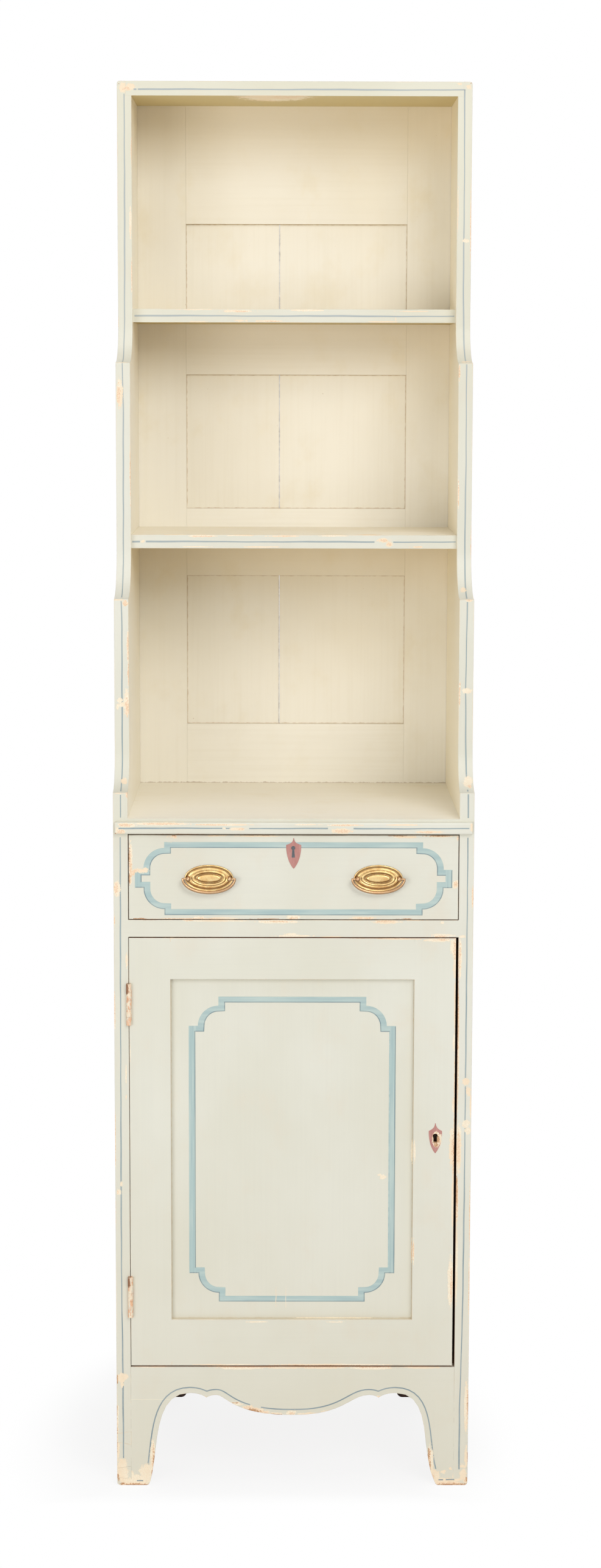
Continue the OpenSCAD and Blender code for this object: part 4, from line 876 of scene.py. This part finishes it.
def band(name, corner, middle, back, body, side, **wear):
    """A band 8.4 mm high and 9.4 mm wide, its darker rim on the under and right-hand side. Its ring
    is mirrored from the top right corner, and goes left from there."""
    ring = corner + [Vector((-p.x, p.y)) for p in reversed(corner)]
    ring += [Vector((p.x, -p.y)) for p in reversed(ring)]
    rows = []
    for a, b in zip(ring, inset(ring, 9.4, 8.4, True)):
        across = [a, a.lerp(b, 0.15), a.lerp(b, 0.85), b]
        rows.append(([spot(middle[0] + p.x, middle[1] + p.y, back) for p in across],
                     Vector((0, -1, 0))))
    widest = max(p.x for p in ring)

    def shade(i, k):
        a, b = ring[i], ring[(i + 1) % len(ring)]
        upright = abs(a.x - b.x) < 0.01 and abs(a.x) > widest - 0.1
        on_outer = a.x > 0 if upright else a.y + b.y <= 0
        return int((k == 0 and on_outer) or (k == 2 and not on_outer))

    light, dark = (band_finish(name + kind, back, kind == "_rim_paint", side, **wear)
                   for kind in ("_paint", "_rim_paint"))
    ribbon(name, rows, body, light, dark, closed=True, dark=shade)


corner = [Vector((147.4, 181.6))] + quarter(105, 181.6, 29.3, 0, 90) + [Vector((105, 224))]
band("door_band", corner, (-1.4, 497.6), PANEL_BACK, "door", 138,
     cream=PANEL_WEAR["cream"][:2] + SCRATCHES)


def shield(name, middle, top, shoulder, low, width, back, body, hole=None, **wear):
    """A dull red shield with a spike on its top, hollow shoulders and a long pointed foot."""
    half = width / 2
    right = bend(((0.5, top), (0.9, top - 5.5), (3.4, shoulder + 2.2), (half - 0.2, shoulder)), 8)
    right += bend(((half, shoulder), (half - 0.1, shoulder - (shoulder - low) * 0.42),
                   (half * 0.62, low + (shoulder - low) * 0.2), (0, low)), 16)[1:]
    outline = right + [Vector((-p.x, p.y)) for p in reversed(right[:-1])]
    curve = bpy.data.curves.new(name, "CURVE")
    curve.dimensions, curve.fill_mode, curve.extrude = "2D", "BOTH", 0.000125
    for ring in [outline] + ([hole] if hole else []):
        spline = curve.splines.new("POLY")
        spline.points.add(len(ring) - 1)
        spline.use_cyclic_u = True
        for point, p in zip(spline.points, ring):
            point.co = ((middle + p.x) / 1000, p.y / 1000, 0, 1)
    flat = bpy.data.objects.new(name, curve)
    mesh = bpy.data.meshes.new_from_object(flat)
    bpy.data.objects.remove(flat)
    points = [(v.co.x, back / 1000 + FRONT - 0.000125 - v.co.z, v.co.y) for v in mesh.vertices]
    faces = [tuple(reversed(p.vertices)) for p in mesh.polygons]
    f = Finish(name + "_paint")
    brush = f.cloud((0.25, 0.25, 0.06), 3, 89)
    colour = f.mix((186, 128, 119), (f.ramp(brush, 0.35, 0.68), (197, 142, 132)))
    mesh_piece(name, points, faces, body, "exterior_paint",
               aged(f, colour, brush * 0.5, back, 0.46, 0.1, 0.2, edges=False, **wear))


gouge = [Vector((1.6 + 6.2 * math.cos(a) * (1 + 0.06 * math.sin(5 * a)),
                 515.8 + 11.5 * math.sin(a) * (1 + 0.04 * math.sin(3 * a + 1))))
         for a in [i * math.tau / 40 for i in range(40)]]
shield("door_shield", 203, 539, 528, 495, 19.2, 0, "door", gouge,
       cream=[(204.6, 515.8, 7.4, 12.9), (210.6, 516, 2.6, 8)])


# Two iron butt hinges, painted over with the carcass: leaves let into stile and side, barrels of
# five knuckles standing proud, where the paint has rubbed to peach, cream and brown.
f = Finish("hinge_paint")
speck = f.cloud((0.45, 0.45, 0.16), 4, 97, rough=0.66)
scuff = f.cloud((0.16, 0.16, 0.05), 3, 101)
rust = f.ramp(abs(f.z - 735), 15, 2).most(f.ramp(abs(f.z - 306), 13, 2))
rust = rust * f.ramp(f.x, -231.6, -235)
coat = f.mix(
    outer_coat(f, "z")[0], (f.ramp(scuff + speck * 0.5, 0.8, 0.66), (248, 230, 200)),
    (f.ramp(scuff * 0.7 + speck, 0.8, 0.94), (240, 188, 146)),
    (f.ramp(speck - scuff * 0.5, 0.3, 0.42), (222, 158, 116)),
    (f.ramp(rust * 0.7 + speck, 0.72, 1.02), (150, 102, 68)))
dress(f.done(coat, 0.5, speck * 1.2, 0.4, 0.25), "hinge_upper_case_leaf", "hinge_lower_case_leaf",
      "hinge_upper_door_leaf", "hinge_lower_door_leaf")


# The drawer: a painted front with a stepped blue band and a painted shield with a dark keyhole,
# on bare softwood sides, back and bottom.
DRAWER_WEAR = dict(
    cream=[
        (-171.5, 952.4, 10, 3.2), (-108.5, 954, 17, 1.5), (-49, 953.6, 40, 1.9),
        (159, 952.6, 22, 2.4), (207, 953.6, 26, 1.9), (231, 951, 2.2, 5), (-204, 955, 24, 0.8),
        (-218, 902, 13, 5.6), (228.6, 885, 7, 7), (-134, 836.6, 11, 2.6), (-96, 835.8, 30, 1.8),
        (0, 838, 12.5, 5.2), (99, 836.6, 25, 2.4), (-229.6, 918, 3.4, 34)],
    peach=[
        (-171.5, 953, 8, 2.2), (-108, 954.4, 14, 0.9), (-230, 912, 3, 34), (-225, 901, 9, 3.8),
        (229.6, 885, 4.6, 5), (-130, 836, 9, 1.6), (0, 836.8, 9, 3), (104, 836.2, 18, 1.6),
        (231, 950, 1.4, 4), (-150, 835.4, 60, 0.9)],
    brown=[
        (-231.6, 925, 1.3, 24), (-231.4, 893, 1.4, 14), (-49, 954.8, 42, 0.9),
        (150, 954, 24, 1.2), (205, 954.2, 28, 1.6), (-216, 835.2, 16, 1.3), (-39, 835.2, 30, 0.9),
        (159, 835.4, 17, 1.2), (-172, 954, 8, 0.9), (60, 955, 60, 0.4)])
f = Finish("drawer_front_paint")
coat, relief = outer_coat(f, "x")
coat = f.mix(coat, ((f.side_y > -0.5).most(f.y > 14), bare_board(f, "x")[0]))
coat, relief, bare = worn(f, coat, relief, **DRAWER_WEAR)
shadow = f.ramp(f.z + f.cloud(0.03, 3, 21) * 1.6, 954.6, 955.4)
dress(f.done(f.mix(coat, (shadow * 0.75, (98, 80, 50))), bare * 0.2 + 0.44, relief),
      "drawer_front")
dress(softwood["y"], "drawer_side_left", "drawer_side_right")
dress(softwood["x"], "drawer_back", "drawer_bottom")

corner = [Vector((223.7, 13)), Vector((211.5, 13))]
corner += quarter(182.2, 14.4, 29.3, 0, 90) + [Vector((182.2, 52.2))]
band("drawer_band", corner, (0, 892.7), 0, "drawer", 214,
     cream=[(-175, 947, 6, 3.2), (-171.5, 950.6, 9, 2.6), (-215, 904.5, 13, 5.4)],
     peach=[(-222, 903, 6, 3.2)])
shield("drawer_shield", 0, 950.5, 941, 907, 21.4, -0.16, "drawer")

f = Finish("painted_keyhole")
slate = f.cloud(0.3, 2, 7)
slate_paint = f.done(f.mix((82, 86, 90), (f.ramp(slate, 0.35, 0.65), (96, 100, 103))), 0.5,
                     slate, 0.2)
start = math.degrees(math.asin(0.52))
eye = quarter(-0.6, 936.6, 2.9, 270 + start, 630 - start, 22)
eye += [Vector((-2.9, 923)), Vector((1.7, 923))]
count = len(eye)
points = [spot(p.x, p.y, out) for out in (-0.45, -0.15) for p in eye]
faces = [tuple(range(count)), tuple(range(2 * count - 1, count - 1, -1))]
faces += [(i, i + count, (i + 1) % count + count, (i + 1) % count) for i in range(count)]
mesh_piece("drawer_keyhole", points, faces, "drawer", "exterior_paint", slate_paint)


# The brass drawer handles, each an oval stamped plate with a beaded rim and a raised oval ridge,
# two ball-headed posts through it, and a half-oval bail hung between them.
def brass(name, dull):
    """Old lacquered brass: bright high places, brown hollows of patina and painted shade."""
    f = Finish(name, Metallic=0.8)
    cloudy = f.cloud(0.12, 4, 103, rough=0.6)
    fine = f.cloud(0.9, 2, 107)
    painted_slope_shade, down = f.ramp(abs(f.side_y), 0.95, 0.55), f.ramp(f.side_z, 0.1, -0.6)
    patina_and_painted_shade = f.node("AmbientOcclusion", {"samples": 6}, {"Distance": 0.005}, "AO")
    colour = f.mix((255, 224, 160), (f.ramp(cloudy, 0.35, 0.7), (230, 184, 118)))
    if dull:
        colour = f.mix(colour, (0.75, (186, 144, 114)))
    # Painted shade and dark reflection: the slopes of the relief go browner, more where they face
    # down.
    colour = f.mix(colour, (painted_slope_shade * (down * 0.4 + 0.5), (134, 90, 46)))
    if not dull:
        colour = f.mix(colour, (f.ramp(f.y + cloudy * 0.5, -0.75, -0.3) * 0.7, (120, 80, 38)))
    # Where ambient occlusion finds hollows the brass goes dark brown: patina and painted shade
    # together.
    colour = f.mix(colour, (f.ramp(patina_and_painted_shade, 0.88, 0.4) * 0.85, (86, 54, 26)),
                   (f.ramp(fine, 0.62, 0.76) * 0.3, (176, 112, 76)))
    return f.done(colour, cloudy * 0.3 + 0.13, fine * 0.3 + cloudy * 0.3, 0.15, 0.06)


plate_brass, bail_brass = brass("plate_brass", False), brass("bail_brass", True)
HANDLES = ((-119.4, "left"), (119.4, "right"))
HANDLE_Z = 893.5
OVALS = [(33.9, 18.5, 0), (34.4, 19, 0.35), (34.3, 18.9, 0.95), (33.7, 18.3, 1.5),
         (32.9, 17.5, 1.45), (32.3, 16.9, 0.75), (31.6, 16.3, 0.4), (30.2, 15.2, 0.5),
         (28.4, 13.8, 0.95), (26.6, 12.5, 1.3), (25.3, 11.6, 1.15), (24.8, 11.2, 0.7),
         (24.2, 10.8, 1.3), (23.6, 10.3, 2.1), (22.6, 9.6, 2.35), (21.4, 8.8, 2.2),
         (20.6, 8.2, 1.5), (19.9, 7.7, 0.7), (19, 7, 0.55), (17.7, 6, 0.65), (16.9, 5.5, 0.9),
         (16.3, 5, 1.9), (15.4, 4.5, 2.4), (13, 3.6, 2.62), (8.5, 2.2, 2.72), (4, 1, 2.78)]


def rings(x, z, sizes, around):
    """A skin over ovals that stand out from the drawer front: half width, half height, out."""
    turns = [math.tau * i / around for i in range(around)]
    points = [spot(x + across * math.cos(a), z + high * math.sin(a), -out)
              for across, high, out in sizes for a in turns]
    faces = []
    for k in range(0, (len(sizes) - 1) * around, around):
        for i in range(around):
            j = (i + 1) % around
            faces.append((k + i, k + around + i, k + around + j, k + j))
    return points, faces


def oval_plate(x, z, around=72):
    points, faces = rings(x, z, OVALS, around)
    last = (len(OVALS) - 1) * around
    points += [spot(x, z, -2.8), spot(x, z, 0.1)]
    faces += [(last + i, len(points) - 2, last + (i + 1) % around) for i in range(around)]
    faces += [(i, (i + 1) % around, len(points) - 1) for i in range(around)]
    return points, faces


def join(parts):
    """Several meshes' points and faces as one."""
    points, faces = [], []
    for some_points, some_faces in parts:
        base = len(points)
        points += some_points
        faces += [tuple(base + i for i in face) for face in some_faces]
    return points, faces


def turned(x, z, profile, around=28):
    """A piece turned on a lathe that stands out from the drawer front: radius, out, in mm."""
    points, faces = rings(x, z, [(radius, radius, out) for radius, out in profile], around)
    last = (len(profile) - 1) * around
    faces.append(tuple(range(last, last + around)))
    faces.append(tuple(range(around - 1, -1, -1)))
    return points, faces


ball = [(2, -25.5), (2, 0.4), (2.9, 0.6), (2.9, 1.6), (1.9, 2.2), (1.7, 5.2)]
ball += [(3.4 * math.cos(math.radians(a)), 9 + 3.4 * math.sin(math.radians(a)))
         for a in range(-58, 86, 8)] + [(0.1, 12.395)]
plates = join([oval_plate(x, HANDLE_Z) for x, name in HANDLES])
posts = join([turned(x + s * 29.2, HANDLE_Z, ball) for x, name in HANDLES for s in (-1, 1)])
mesh_piece("handle_plate_pair", *plates, "drawer", "handle_brass", plate_brass,
           stands_for=("handle_plates",))
mesh_piece("handle_post_set", *posts, "drawer", "handle_brass", bail_brass,
           stands_for=("handle_posts",))


def swept(path, radii, around=14):
    """A round rod along points, each with its own radius, closed at both ends."""
    points, faces = [], []
    upright = Vector((0, 1, 0))
    for i, (p, radius) in enumerate(zip(path, radii)):
        ahead = (path[min(i + 1, len(path) - 1)] - path[max(i - 1, 0)]).normalized()
        across = ahead.cross(upright).normalized()
        for k in range(around):
            a = math.tau * k / around
            points.append(p + (across * math.cos(a) + upright * math.sin(a)) * radius)
    for i in range(len(path) - 1):
        for k in range(around):
            j = (k + 1) % around
            faces.append((i * around + k, i * around + j, (i + 1) * around + j,
                          (i + 1) * around + k))
    faces.append(tuple(range(around - 1, -1, -1)))
    faces.append(tuple((len(path) - 1) * around + k for k in range(around)))
    return points, faces


BAIL_END = [(27, 0, 1.2), (31.6, 0, 1.2), (32.2, 0, 1.7), (35.4, 0.1, 1.8), (37.1, 0.1, 1.5)]
bail = [(-across, up, radius) for across, up, radius in BAIL_END]
for i in range(1, 40):
    a = math.pi * (1 + i / 40)
    thick = 1.7 + 0.4 * min(1, 4 * min(i, 40 - i) / 40)
    bail.append((36.6 * math.cos(a), 19.4 * math.sin(a), thick))
bail += BAIL_END[::-1]
for x, name in HANDLES:
    rod = swept([Vector(spot(x + across, HANDLE_Z + up, -9)) for across, up, radius in bail],
                [radius / 1000 for across, up, radius in bail])
    mesh_piece("bail_" + name + "_rod", *rod, "bail_" + name, "handle_brass", bail_brass,
               stands_for=("bail_" + name,))
